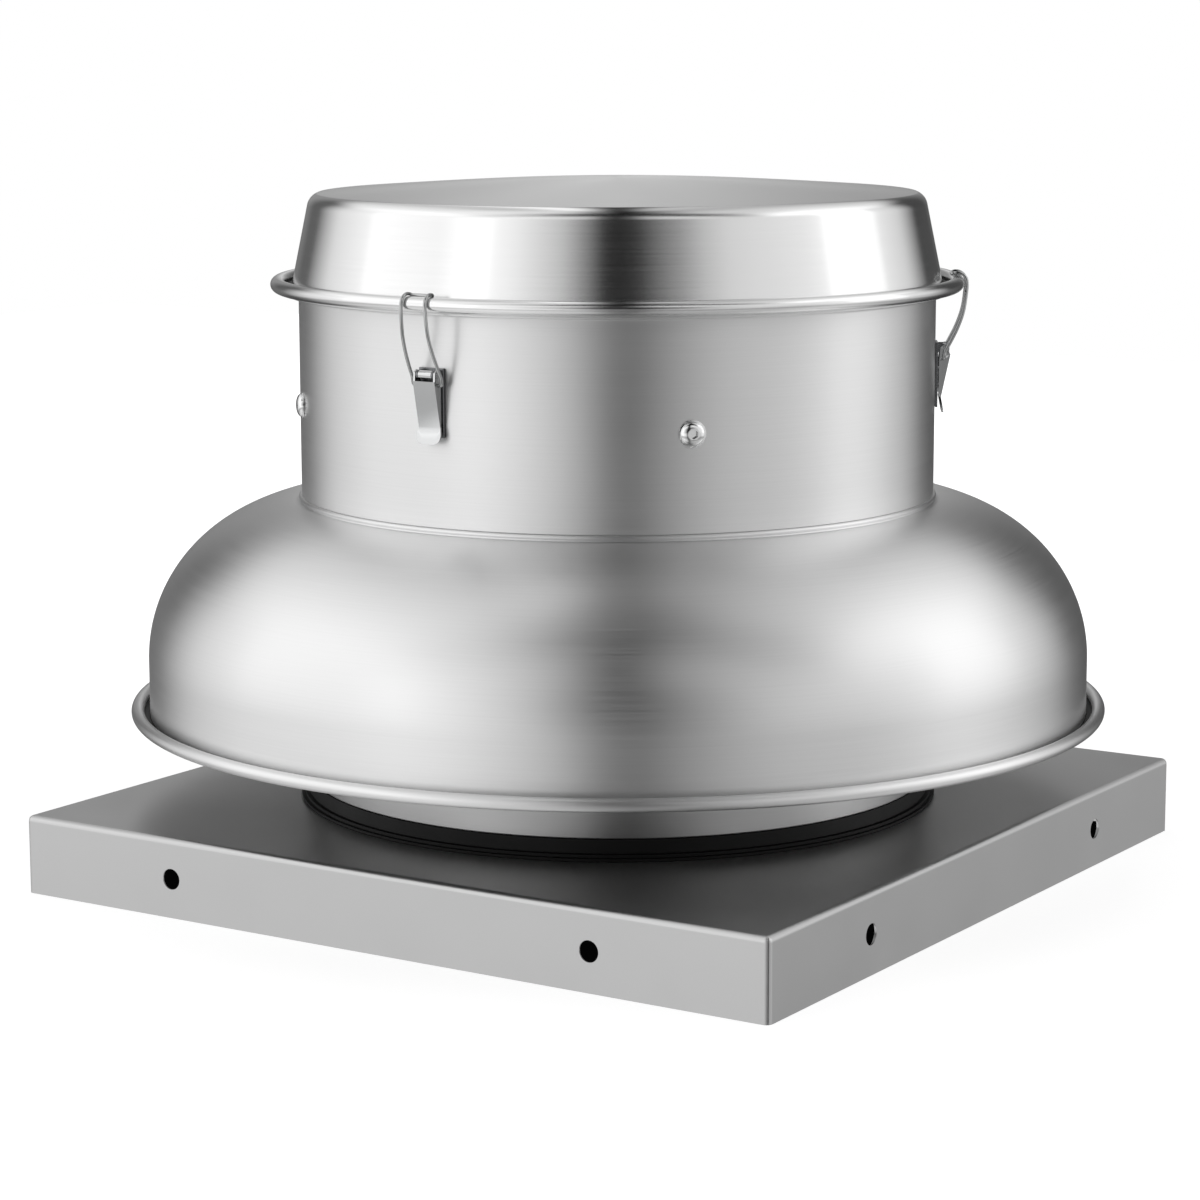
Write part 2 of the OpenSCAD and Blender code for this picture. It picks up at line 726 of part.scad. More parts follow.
// Lever: a channel of sheet with two cheeks on the pin and a flared, rounded tip
module latch_lever(i) color("#c9ccce") {
    face_top = hinge_y + 1.7;
    face_low = latch_front + lever_gap;
    top_z = hinge_z - 3;
    bend_z = hinge_z - 0.76 * lever_len;
    tip_z = hinge_z - lever_len;
    tip_y = face_low + 1.6;
    half = lever_w / 2;
    on_latch(i)
        difference() {
            union() {
                cheeks(cheek_in, cheek_out) {
                    polygon([[face_low + latch_t / 2, bend_z], [face_top + latch_t / 2, top_z],
                        [face_top + 0.3, hinge_z + 1.2],
                        [hinge_y, hinge_z + 2.4], [hinge_y - 2.4, hinge_z + 0.6],
                        [pivot_y - 2.2, pivot_z - 1.2], [face_low - 0.2, bend_z + 3]]);
                }
                translate([-half, 0, 0])
                    rotate([90, 0, 90])
                        linear_extrude(height = lever_w)
                            polygon([[face_low, bend_z], [face_top, top_z], [face_top + latch_t, top_z],
                                [face_low + latch_t, bend_z]]);
                intersection() {
                    translate([-half - 1, 0, 0])
                        rotate([90, 0, 90])
                            linear_extrude(height = lever_w + 2)
                                polygon([[face_low, bend_z + 0.4], [face_low + latch_t, bend_z + 0.4],
                                    [tip_y + latch_t, tip_z], [tip_y, tip_z]]);
                    translate([0, hinge_y + 8, 0])
                        rotate([90, 0, 0])
                            linear_extrude(height = 16)
                                polygon(concat([[-half, bend_z + 1], [-half - 0.7, tip_z + 4.5]],
                                    oval(-half + 3.3, tip_z + 4, 4, 4, 180, 270, 6),
                                    oval(half - 3.3, tip_z + 4, 4, 4, 270, 360, 6),
                                    [[half + 0.7, tip_z + 4.5], [half, bend_z + 1]]));
                }
            }
            bar_x(latch_pin_r + run_play, cheek_out + cut, hinge_y, hinge_z);
            bar_x(wire_r + 2 * run_play + 0.05, cheek_out + cut, pivot_y, pivot_z);
        }
}

// Half of the bail's wire, from its pivot up and over the lid's bead, and its bar behind the bead's top
function bail_half(s) =
    let (leg = bail_w / 2, out = lid_bead_r + bail_wrap)
    concat([[s * leg, pivot_y, pivot_z], [s * leg, pivot_y + 0.6, pivot_z + 3],
        [s * (leg - 0.2), pivot_y + 3.6, pivot_z + 9], [s * (leg - 0.6), out - 4.3, pivot_z + 16],
        [s * (leg - 1), out - 1.6, pivot_z + 24], [s * (leg - 1.3), out - 0.35, lid_bead_z - 6]],
        [for (a = [0, 40, 75, 105]) bail_over(s * (leg - 1.5 - a / 300), a)],
        [bail_over(s * (leg - 2.6), bail_bar)]);
function bail_over(x, a) = [x, lid_bead_r + bail_wrap * cos(a), lid_bead_z + bail_wrap * sin(a)];

module latch_bail(i) color("#d9dbdd") {
    left = bail_half(-1);
    right = bail_half(1);
    path = smooth(concat(left, [bail_over(0, bail_bar)],
        [for (k = [len(right) - 1:-1:0]) right[k]]), 2);
    on_latch(i)
        union() {
            swept_wire(path, wire_r, 8);
            for (s = [0, 1])
                mirror([s, 0, 0])
                    translate([cheek_in, pivot_y, pivot_z])
                        rotate([0, 90, 0])
                            cylinder(r = wire_r + run_play, h = bail_w / 2 + wire_r - cheek_in);
        }
}

// Motor shell: a finned tube
module motor_shell() color("#3c3f42") {
    step = 360 / fin_count;
    translate([0, 0, shell_z])
        linear_extrude(height = motor_h)
            difference() {
                polygon([for (i = [0:fin_count - 1]) for (q = [0:3])
                    let (r = q == 1 || q == 2 ? motor_r : motor_r - fin_depth,
                        t = step * (i + [0.1, 0.16, 0.44, 0.5][q]))
                    [r * cos(t), r * sin(t)]]);
                circle(motor_r - fin_depth - shell_t);
            }
}

// Tie bolts or their holes, from one height to another
module motor_tie_holes(r, from, to) {
    at_angles(POST_ANGLES, tie_at)
        round_z(r, from, to);
}

module motor_top_cover() color("#4a4d50") {
    difference() {
        rotate_extrude()
            polygon([[0, top_cover_z], [motor_r, top_cover_z], [motor_r, top_cover_z + cover_edge],
                [motor_r - cover_edge, top_cover_z + cover_h], [0, top_cover_z + cover_h]]);
        round_z(bearing_r + run_play, top_cover_z - cut, top_cover_z + bearing_h - 2);
        motor_tie_holes(tie_r + hole_play, top_cover_z - cut, top_cover_z + cover_h + cut);
    }
}

// Foot cover with four arms that rest on the isolators
module motor_foot_cover() color("#4a4d50") {
    difference() {
        union() {
            round_z(motor_r, foot_z, shell_z);
            at_angles(ISOLATOR_ANGLES) {
                translate([motor_r - 8, -ear_r, foot_z])
                    cube([isolator_circle - motor_r + 8, 2 * ear_r, ear_t]);
                translate([isolator_circle, 0, 0])
                    round_z(ear_r, foot_z, foot_z + ear_t);
            }
        }
        round_z(shaft_r + 1, foot_z - cut, shell_z + cut);
        round_z(bearing_r + run_play, foot_z + 2, shell_z + cut);
        at_angles(ISOLATOR_ANGLES, isolator_circle)
            round_z(isolator_bolt_r + hole_play, foot_z - cut, foot_z + ear_t + cut);
        motor_tie_holes(tie_r + hole_play, foot_z - cut, shell_z + cut);
    }
}

module motor_bearings() color("#a8abae") {
    for (from = [foot_z + 2, top_cover_z])
        difference() {
            round_z(bearing_r, from, from + bearing_h - 2);
            round_z(shaft_r + run_play, from - cut, from + bearing_h);
        }
}

module motor_tie_bolts() color("#c4c6c8") {
    motor_tie_holes(tie_r, foot_z + 1, top_cover_z + cover_h);
    at_angles(POST_ANGLES, tie_at)
        translate([0, 0, top_cover_z + cover_h])
            cylinder(r = tie_r * 1.8, h = tie_r * 1.2, $fn = 6);
}

module motor_isolators() color("#191919") {
    at_angles(ISOLATOR_ANGLES, isolator_circle)
        difference() {
            rotate_extrude()
                polygon([[0, plate_top], [ear_r, plate_top], [ear_r, plate_top + 2],
                    [ear_r - 2, plate_top + isolator_h / 2], [ear_r, foot_z - 2], [ear_r, foot_z],
                    [0, foot_z]]);
            round_z(isolator_bolt_r + hole_play, plate_top - cut, foot_z + cut);
        }
}

module isolator_bolts() color("#c9cbcd") {
    at_angles(ISOLATOR_ANGLES, isolator_circle) {
        round_z(isolator_bolt_r, seam_z - 5, foot_z + ear_t + 1);
        translate([0, 0, foot_z + ear_t])
            flange_head(2 * isolator_bolt_r, 3.6);
        translate([0, 0, seam_z - 4])
            cylinder(r = 4.6, h = 4, $fn = 6);
    }
}

module stator_core() color("#6e7174") {
    difference() {
        round_z(motor_r - fin_depth - shell_t, stator_z, stator_z + stator_h);
        round_z(stator_in_r, stator_z - cut, stator_z + stator_h + cut);
        motor_tie_holes(tie_r + hole_play, stator_z - cut, stator_z + stator_h + cut);
    }
}

module stator_windings() color("#a5562a") {
    for (z = [stator_z - winding_h, stator_z + stator_h])
        rotate_extrude()
            translate([stator_in_r + 1, z])
                square([winding_w, winding_h]);
}

module motor_shaft() color("#d0d2d4") {
    round_z(shaft_r, wheel_back_z - hub_h - 6, top_cover_z + bearing_h - 3);
}

module rotor_core() color("#85888b") {
    difference() {
        round_z(stator_in_r - air_gap, stator_z - 1, stator_z + stator_h + 1);
        round_z(shaft_r + 0.02, stator_z - 1 - cut, stator_z + stator_h + 1 + cut);
    }
}

module wheel_hub() color("#b1b4b7") {
    difference() {
        union() {
            round_z(hub_r, wheel_back_z - hub_h, wheel_back_z);
            round_z(hub_flange_r, wheel_back_z - 4, wheel_back_z);
        }
        round_z(shaft_r + 0.02, wheel_back_z - hub_h - cut, wheel_back_z + cut);
        translate([0, 0, wheel_back_z - hub_h + 9])
            rotate([0, 90, 0])
                cylinder(r = 3 + run_play, h = hub_r + cut);
    }
}

module hub_set_screw() color("#5c5f62") {
    translate([shaft_r + 0.05, 0, wheel_back_z - hub_h + 9])
        rotate([0, 90, 0])
            difference() {
                cylinder(r = 3, h = hub_r - shaft_r - 1);
                translate([0, 0, hub_r - shaft_r - 4])
                    cylinder(r = 1.5, h = 4, $fn = 6);
            }
}

module wheel_backplate() color("#b8babc") {
    rotate_extrude()
        polygon([[shaft_r + 0.02, wheel_back_z], [wheel_r, wheel_back_z],
            [wheel_r, wheel_back_z + back_t], [hub_flange_r + 4, wheel_back_z + back_t],
            [hub_flange_r, wheel_back_z + back_t + 2], [shaft_r + 0.02, wheel_back_z + back_t + 2]]);
}

// Centre line of a backward curved blade, and the same line moved sideways
function blade_point(s) =
    let (r = blade_in_r + (blade_out_r - blade_in_r) * s, t = blade_sweep * (1.25 * s - 0.25 * s * s))
    [r * cos(t), r * sin(t)];
function blade_side(s, off) =
    let (p = blade_point(s), d = unit(blade_point(s + 0.02) - blade_point(s - 0.02)))
    p + off * [-d[1], d[0]];

// Nine single-skin blades between the shroud and the back plate
module wheel_blades() color("#bdbfc1") {
    steps = 10;
    intersection() {
        for (i = [0:blade_count - 1])
            rotate([0, 0, i * 360 / blade_count])
                translate([0, 0, eye_z])
                    linear_extrude(height = wheel_back_z - eye_z)
                        polygon(concat([for (k = [0:steps]) blade_side(k / steps, blade_t / 2)],
                            [for (k = [steps:-1:0]) blade_side(k / steps, -blade_t / 2)]));
        rotate_extrude()
            polygon(concat([[blade_in_r - 5, wheel_back_z], [blade_in_r - 5, eye_z + 1]],
                oval(wheel_r, eye_z, wheel_r - eye_r, shroud_rise, blade_lead, 90, 10),
                [[wheel_r, wheel_back_z]]));
    }
}

module wheel_shroud() color("#bdbfc1") {
    a = wheel_r - eye_r;
    rotate_extrude()
        polygon(concat(oval(wheel_r, eye_z, a, shroud_rise, 180, 90, 12),
            oval(wheel_r, eye_z, a - sheet_t, shroud_rise - sheet_t, 90, 180, 12)));
}

module box_blank(grow, low, high) {
    translate([-box_out_x + grow, -box_w / 2 + grow, low])
        cube([box_d - 2 * grow, box_w - 2 * grow, high - low]);
}

module junction_box() color("#8f9296") {
    difference() {
        box_blank(0, box_z, box_top_z);
        box_blank(box_t, box_z + box_t, box_top_z + cut);
        translate([-chase_at, 0, 0])
            round_z(chase_r + hole_play, box_z - cut, box_z + box_t + cut);
        translate([-box_wall_x - box_t - cut, 0, lead_z])
            rotate([0, 90, 0])
                cylinder(r = lead_r + bush_lip + hole_play, h = box_t + 2 * cut);
    }
}

module junction_box_cover() color("#9a9da1") {
    difference() {
        box_blank(0, box_top_z, box_top_z + box_t);
        translate([toggle_x, 0, box_top_z])
            cube([switch_w - 6, switch_slot_l, 4 * box_t], center = true);
        for (s = [-1, 1])
            translate([toggle_x, s * box_screw_at, box_top_z - cut])
                cylinder(r = box_screw_r + hole_play, h = box_t + 2 * cut);
    }
}

module box_screws() color("#d0d2d4") {
    for (s = [-1, 1])
        translate([toggle_x, s * box_screw_at, 0]) {
            round_z(box_screw_r, box_top_z - 4 * box_t, box_top_z + box_t);
            round_z(2 * box_screw_r, box_top_z + box_t, box_top_z + 2 * box_t);
        }
}

// Switch body with a slot for its toggle, hung under the box's cover
module disconnect_switch() color("#1c1c1e") {
    slot = toggle_r + 0.6;
    difference() {
        translate([toggle_x - switch_w / 2, -switch_l / 2, box_top_z - switch_h])
            cube([switch_w, switch_l, switch_h]);
        translate([toggle_x, 0, toggle_pivot_z + 1])
            cube([2 * slot, switch_slot_l + 1, switch_slot_l + 2], center = true);
    }
}

// Toggle on its cross pin, tilted to the off side
module switch_toggle() color("#c8cacc") {
    translate([toggle_x, 0, toggle_pivot_z])
        rotate([toggle_tilt, 0, 0]) {
            rotate([0, 90, 0])
                cylinder(r = toggle_r, h = 2 * toggle_r, center = true);
            cylinder(r1 = 1.4, r2 = 1.8, h = toggle_len);
            translate([0, 0, toggle_len])
                sphere(2.1);
        }
}

module capacitor() color("#b5b7ba") {
    translate([CAPACITOR_AT[0], CAPACITOR_AT[1], 0]) {
        rotate_extrude()
            polygon([[0, plate_top], [capacitor_r - 1, plate_top], [capacitor_r, plate_top + 1],
                [capacitor_r, plate_top + capacitor_h - 1], [capacitor_r - 1, plate_top + capacitor_h],
                [0, plate_top + capacitor_h]]);
        for (s = [-1, 1])
            translate([s * 6, -0.4, plate_top + capacitor_h - 0.5])
                translate([-3, 0, 0])
                    cube([6, 0.8, 9]);
    }
}

// Band round the capacitor with a foot on the motor plate
module capacitor_clamp() color("#a0a3a6") {
    band = 0.8 * box_t;
    grip_r = capacitor_r + 0.1;
    translate([CAPACITOR_AT[0], CAPACITOR_AT[1], 0])
        difference() {
            union() {
                round_z(grip_r + band, clamp_z, clamp_z + clamp_h);
                translate([-clamp_h / 2, -grip_r - 2 * band, plate_top])
                    cube([clamp_h, 2 * band, clamp_z + clamp_h - plate_top]);
                translate([-clamp_h / 2, -grip_r - clamp_h - band, plate_top])
                    cube([clamp_h, clamp_h, band]);
            }
            round_z(grip_r, plate_top - cut, clamp_z + clamp_h + cut);
        }
}

// Lead from the motor's shell to the junction box: distance along the gap, sag sideways and rise
LEAD_ROUTE = [[0, 0, 0], [0.1, 0, 0], [0.24, 4, 3], [0.43, 9, 5], [0.61, 7, 3], [0.8, 1, 0], [0.92, 0, 0],
    [1.1, 0, 0]];

module motor_lead() color("#161616") {
    from = motor_r + slip_gap;
    span = box_wall_x - from;
    swept_wire(smooth([for (p = LEAD_ROUTE) [-from - p[0] * span, p[1], lead_z + p[2]]], 3), lead_r, 10);
}

// Rubber bushes where the lead and the chase enter the box
module cable_bushes() color("#202020") {
    translate([-box_wall_x - box_t - bush_lip, 0, lead_z])
        rotate([0, 90, 0])
            difference() {
                union() {
                    cylinder(r = lead_r + bush_lip, h = box_t + 2 * bush_lip);
                    cylinder(r = lead_r + 2 * bush_lip, h = bush_lip);
                    translate([0, 0, box_t + bush_lip])
                        cylinder(r = lead_r + 2 * bush_lip, h = bush_lip);
                }
                translate([0, 0, -cut])
                    cylinder(r = lead_r + 0.1, h = box_t + 2 * bush_lip + 2 * cut);
            }
    translate([-chase_at, 0, box_z + box_t])
        difference() {
            cylinder(r = chase_r + 1.5 * bush_lip, h = 1.5 * bush_lip, $fn = 8);
            translate([0, 0, -cut])
                cylinder(r = chase_r + 0.1, h = 1.5 * bush_lip + 2 * cut);
        }
}

curb_cap();
throat_seal();
inlet_ring();
inlet_cone();
cone_rivets();
support_post(0);  // support_post_1
support_post(1);  // support_post_2
support_post(2);  // support_post_3
support_post(3);  // support_post_4
post_base_bolts();
post_top_bolts();
bell();
motor_plate();
wiring_chase();
motor_housing();
housing_bracket(0);  // housing_bracket_1
housing_bracket(1);  // housing_bracket_2
housing_bracket(2);  // housing_bracket_3
housing_bracket(3);  // housing_bracket_4
housing_screws();
housing_nuts();
lid();
lid_gasket();
latch_base(0);  // latch_base_1
latch_base(1);  // latch_base_2
latch_base(2);  // latch_base_3
latch_pins();
latch_rivets();
latch_lever(0);  // latch_lever_1
latch_lever(1);  // latch_lever_2
latch_lever(2);  // latch_lever_3
latch_bail(0);  // latch_bail_1
latch_bail(1);  // latch_bail_2
latch_bail(2);  // latch_bail_3
motor_shell();
motor_top_cover();
motor_foot_cover();
motor_bearings();
motor_tie_bolts();
motor_isolators();
isolator_bolts();
stator_core();
stator_windings();
motor_shaft();
rotor_core();
wheel_hub();
hub_set_screw();
wheel_backplate();
wheel_blades();
wheel_shroud();
junction_box();
junction_box_cover();
box_screws();
disconnect_switch();
switch_toggle();
capacitor();
capacitor_clamp();
motor_lead();
cable_bushes();
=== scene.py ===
"""Roof exhaust fan: spun aluminium shells, folded curb cap, toggle latches and a plain studio.

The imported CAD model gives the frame. The shells that show most are turned again here with finer
rolled edges, and the latch wires are drawn as round wire. Every other part keeps its CAD shape; the
seal, the screws and the latches get softened edges. Lengths are in millimetres until the place where
a mesh is made, then in metres.
"""

import json
import math

import bmesh
import bpy
from mathutils import Matrix, Vector


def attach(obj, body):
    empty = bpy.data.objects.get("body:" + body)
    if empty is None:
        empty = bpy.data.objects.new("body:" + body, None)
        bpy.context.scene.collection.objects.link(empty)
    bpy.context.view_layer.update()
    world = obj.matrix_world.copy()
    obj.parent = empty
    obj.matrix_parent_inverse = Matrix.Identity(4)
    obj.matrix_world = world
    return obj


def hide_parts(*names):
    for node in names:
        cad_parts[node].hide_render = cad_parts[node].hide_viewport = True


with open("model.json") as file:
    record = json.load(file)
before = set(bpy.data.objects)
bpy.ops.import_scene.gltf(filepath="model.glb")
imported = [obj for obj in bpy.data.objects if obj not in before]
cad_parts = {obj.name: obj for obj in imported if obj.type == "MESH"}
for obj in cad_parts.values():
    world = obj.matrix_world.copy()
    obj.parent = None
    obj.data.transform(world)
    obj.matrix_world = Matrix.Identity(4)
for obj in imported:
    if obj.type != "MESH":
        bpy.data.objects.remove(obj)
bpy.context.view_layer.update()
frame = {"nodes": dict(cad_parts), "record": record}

MM = 0.001
BODY = "fan_body"
# The three latches, and the bearing of each round the shaft's axis in degrees
LATCH_TURNS = {1: -90.0, 2: 30.0, 3: 150.0}


def put(name, data):
    """An object with this data, in the scene."""
    made = bpy.data.objects.new(name, data)
    bpy.context.scene.collection.objects.link(made)
    return made


# Camera

# Place in metres, bearing, fall and roll in degrees; the focal length is in pixels of the photograph
CAMERA_AT = Vector((0.9264, -1.4519, 0.4324))
CAMERA_TURN = math.radians(32.844)
CAMERA_DIP = math.radians(9.687)
CAMERA_ROLL = math.radians(-0.1307)
SENSOR = 36.0
FOCAL_PX = 3373.2
PHOTO_PX = 1200.0


def place_camera():
    """The photograph's camera, fitted to the cap's corners and to the circles of the shells."""
    right = Vector((math.cos(CAMERA_TURN), math.sin(CAMERA_TURN), 0.0))
    forward = Vector((-math.sin(CAMERA_TURN) * math.cos(CAMERA_DIP),
                      math.cos(CAMERA_TURN) * math.cos(CAMERA_DIP), -math.sin(CAMERA_DIP)))
    up = right.cross(forward)
    side = right * math.cos(CAMERA_ROLL) + up * math.sin(CAMERA_ROLL)
    top = up * math.cos(CAMERA_ROLL) - right * math.sin(CAMERA_ROLL)
    data = bpy.data.cameras.new("camera")
    data.sensor_fit = "HORIZONTAL"
    data.sensor_width = SENSOR
    data.lens = FOCAL_PX / PHOTO_PX * SENSOR
    data.clip_start = 0.05
    data.clip_end = 50.0
    camera = put("camera", data)
    turn = Matrix((side, top, -forward)).transposed()
    camera.matrix_world = Matrix.Translation(CAMERA_AT) @ turn.to_4x4()
    bpy.context.scene.camera = camera


place_camera()


# Materials

def linear(code):
    """An sRGB hex colour as linear RGBA."""
    parts = [int(code[i:i + 2], 16) / 255.0 for i in (1, 3, 5)]
    return tuple(c / 12.92 if c <= 0.04045 else ((c + 0.055) / 1.055) ** 2.4 for c in parts) + (1.0,)


def add(tree, kind, inputs=None, **settings):
    """A node with its settings; an input is either a value or the socket that feeds it."""
    node = tree.nodes.new("ShaderNode" + kind)
    for key, value in settings.items():
        setattr(node, key, value)
    for key, value in (inputs or {}).items():
        if isinstance(value, bpy.types.NodeSocket):
            tree.links.new(value, node.inputs[key])
        else:
            node.inputs[key].default_value = value
    return node


def blank(name):
    """An empty material: its tree and its Principled shader."""
    made = bpy.data.materials.new(name)
    made.use_nodes = True
    tree = made.node_tree
    tree.nodes.clear()
    skin = add(tree, "BsdfPrincipled")
    add(tree, "OutputMaterial", {"Surface": skin.outputs[0]})
    return made, tree, skin


def per_mm(spacing):
    """Noise scale, per metre, at which one cell is about this many millimetres."""
    return 1.0 / (spacing * MM)


# Turn of the highlight's stretch, as a share of a full turn: across the rings
QUARTER_TURN = 0.25
# Noise keeps mostly between these two values
NOISE_LOW, NOISE_HIGH = 0.3, 0.7
# How a surface wears: share of its fine pattern beside the clouds, size of the clouds in millimetres,
# swing of the roughness to either side, and strength of the pattern's relief
LATHE_WEAR = {"fine": 0.75, "cloud_mm": 70.0, "swing": 0.12, "relief": 0.35}
GRAIN_WEAR = {"fine": 0.5, "cloud_mm": 45.0, "swing": 0.15, "relief": 0.4}


def wear_in(tree, skin, place, pattern, dark, light, rough, depth_mm, fine, cloud_mm, swing, relief):
    """A fine pattern and soft clouds set the colour and the roughness; the pattern alone gives relief."""
    clouds = add(tree, "TexNoise", {"Vector": place, "Scale": per_mm(cloud_mm), "Detail": 3.0}).outputs[0]
    share = add(tree, "Math", {0: pattern, 1: fine}, operation="MULTIPLY").outputs[0]
    wear = add(tree, "Math", {0: clouds, 1: 1.0 - fine, 2: share}, operation="MULTIPLY_ADD").outputs[0]
    tone = add(tree, "MixRGB", {"Fac": wear, "Color1": linear(dark), "Color2": linear(light)})
    gloss = add(tree, "MapRange", {"Value": wear, "From Min": NOISE_LOW, "From Max": NOISE_HIGH,
                                   "To Min": rough * (1.0 - swing), "To Max": rough * (1.0 + swing)})
    bump = add(tree, "Bump", {"Height": pattern, "Strength": relief, "Distance": depth_mm * MM})
    for source, socket in ((tone, "Base Color"), (gloss, "Roughness"), (bump, "Normal")):
        tree.links.new(source.outputs[0], skin.inputs[socket])


def spun_metal(name, dark, light, rough, stretch, line_mm, depth_mm):
    """Aluminium turned on a lathe over a former: the tool leaves fine rings, so light spreads across
    them and shows as tall soft bands. The rings are drawn wider than real ones, or they would not show."""
    drift = 14.0  # cells per metre along a ring, which keeps its tone for about 70 mm
    made, tree, skin = blank(name)
    place = add(tree, "TexCoord").outputs["Object"]
    axes = add(tree, "SeparateXYZ", {"Vector": place})
    flat = add(tree, "CombineXYZ", {"X": axes.outputs["X"], "Y": axes.outputs["Y"]})
    radius = add(tree, "VectorMath", {0: flat.outputs[0]}, operation="LENGTH").outputs["Value"]
    along = add(tree, "VectorMath", {0: place, 1: (drift, drift, per_mm(line_mm))},
                operation="MULTIPLY").outputs[0]
    across = add(tree, "Math", {0: radius, 1: per_mm(line_mm)}, operation="MULTIPLY").outputs[0]
    rings = add(tree, "TexNoise", {"Vector": along, "W": across, "Scale": 1.0, "Detail": 3.0,
                                   "Roughness": 0.6}, noise_dimensions="4D").outputs[0]
    wear_in(tree, skin, place, rings, dark, light, rough, depth_mm, **LATHE_WEAR)
    round_shaft = add(tree, "Tangent", direction_type="RADIAL", axis="Z").outputs[0]
    tree.links.new(round_shaft, skin.inputs["Tangent"])
    skin.inputs["Metallic"].default_value = 1.0
    skin.inputs["Anisotropic"].default_value = stretch
    skin.inputs["Anisotropic Rotation"].default_value = QUARTER_TURN
    return made


def worked_metal(name, dark, light, rough, grain_mm, depth_mm, metallic=1.0):
    """Rolled, plated or ground metal: a fine even grain with faint clouds where it has dulled."""
    made, tree, skin = blank(name)
    place = add(tree, "TexCoord").outputs["Object"]
    grain = add(tree, "TexNoise", {"Vector": place, "Scale": per_mm(grain_mm), "Detail": 4.0,
                                   "Roughness": 0.65}).outputs[0]
    wear_in(tree, skin, place, grain, dark, light, rough, depth_mm, **GRAIN_WEAR)
    skin.inputs["Metallic"].default_value = metallic
    return made


def moulded(name, dark, light, rough, grain_mm, depth_mm, ior=1.5):
    """Rubber, plastic or paint: a soft even skin with a slight moulded or sprayed texture."""
    made = worked_metal(name, dark, light, rough, grain_mm, depth_mm, metallic=0.0)
    made.node_tree.nodes["Principled BSDF"].inputs["IOR"].default_value = ior
    return made


# Each material gives its darkest and its lightest colour, its roughness, for spun metal the stretch of
# its highlights, and then the width and the depth of its rings or its grain in millimetres

# Spun and polished a little: tall bands with the sharpest edges, and a near mirror on the shoulder
LID_SPUN = spun_metal("spun_aluminium_bright", "#e5e5e5", "#eeeeee", 0.18, 0.80, 0.9, 0.004)
# Spun and left satin: the same bands, wider and softer, with fine rings
BELL_SPUN = spun_metal("spun_aluminium_satin", "#dfdfdf", "#ececec", 0.36, 0.75, 0.8, 0.007)
# Rolled and brushed round: the softest bands, upright and even
HOUSING_ROLLED = spun_metal("rolled_aluminium_satin", "#dedede", "#ebebeb", 0.38, 0.75, 0.7, 0.005)
# Rolled ring, its colour darkened as painted shade for the bell's shadow over it: a grey ring
RING_PAINTED_SHADE = spun_metal("rolled_aluminium_ring_painted_shade", "#b7b7b7", "#c5c5c5", 0.36, 0.75, 0.8, 0.006)
# Sheet with its mill skin: flat, even grey with faint clouds
SHEET_MILL = worked_metal("aluminium_sheet_mill_finish", "#c1c1c1", "#cfcfcf", 0.36, 0.8, 0.006)
# Sheared and bent sheet of the wheel: duller than the cap, with a coarser grain
WHEEL_SHEET = worked_metal("aluminium_sheet_bent", "#b4b6b9", "#c8cacc", 0.42, 1.2, 0.01)
# Headed rivets: small domes with one soft highlight
RIVET_ALUMINIUM = worked_metal("aluminium_rivet_headed", "#c3c5c7", "#d6d8da", 0.33, 0.8, 0.01)
# Tumbled stainless steel: bright, with small soft highlights
STAINLESS = worked_metal("stainless_steel_tumbled", "#cdcecf", "#e2e3e3", 0.13, 0.6, 0.003)
# Drawn wire: a black and a white line along its length
WIRE_STEEL = worked_metal("stainless_steel_drawn_wire", "#aeafaf", "#c4c5c5", 0.09, 0.4, 0.002)
# Stamped steel with its mill skin, darker still by painted shade for the shadow beside the lever: a dull
# base behind the bright lever
STAMPED_STEEL_PAINTED_SHADE = worked_metal("stainless_steel_stamped_painted_shade", "#77787a", "#8c8d8f", 0.28, 0.7, 0.006)
# Cold-headed steel, polished by the die: domes that mirror the studio
HEAD_STEEL = worked_metal("stainless_steel_cold_headed", "#e4e5e5", "#f2f2f2", 0.11, 0.5, 0.003)
# Zinc plate with its passivation: pale, with a faint blue
ZINC_STEEL = worked_metal("zinc_plated_steel", "#a9adb2", "#c2c6ca", 0.36, 1.0, 0.01)
# Galvanised sheet: grey, in soft patches the size of its spangles
BOX_ZINC = worked_metal("galvanised_sheet", "#979b9f", "#b3b7ba", 0.42, 6.0, 0.01)
# Ground steel: smooth, cool and bright
BEARING_STEEL = worked_metal("ground_bearing_steel", "#b2b4b7", "#cfd1d3", 0.20, 0.5, 0.004)
# Stacked electrical sheet: dark, with hardly a shine
CORE_STEEL = worked_metal("laminated_core_steel", "#4c4e51", "#6a6c6f", 0.50, 0.6, 0.02)
# Enamelled wire in turns: warm brown, uneven at the width of a wire
COPPER = worked_metal("enamelled_copper_wire", "#8d4a22", "#b8693a", 0.35, 1.2, 0.1)
# Drawn can: soft silver
CAPACITOR_CAN = worked_metal("drawn_aluminium_can", "#b0b2b4", "#c6c8ca", 0.34, 0.9, 0.006)
# Nickel plate on brass: a warm, glossy silver
TOGGLE_NICKEL = worked_metal("nickel_plated_brass", "#c6c1b6", "#dcd8ce", 0.18, 0.5, 0.004)
# Moulded rubber with a slight bloom: nearly black, with no clear highlight
SEAL_RUBBER = moulded("moulded_black_rubber", "#060606", "#0e0e0e", 0.55, 0.7, 0.02, ior=1.35)
# Painted shade in the fold behind a bead, where the trough lies in shadow: a soft dark line
HEM_PAINTED_SHADE = moulded("painted_shade_in_hem", "#181818", "#262626", 0.60, 0.9, 0.02, ior=1.4)
# Sprayed enamel: dark grey with a slight orange peel
MOTOR_PAINT = moulded("sprayed_motor_enamel", "#2c2f32", "#393c40", 0.38, 0.9, 0.02)
# Moulded phenolic: nearly black, half glossy
SWITCH_PLASTIC = moulded("moulded_phenolic", "#151516", "#202022", 0.45, 0.6, 0.01)
# Extruded vinyl: nearly black and smooth
CABLE_SHEATH = moulded("extruded_vinyl_sheath", "#101011", "#1b1b1c", 0.42, 0.8, 0.01)

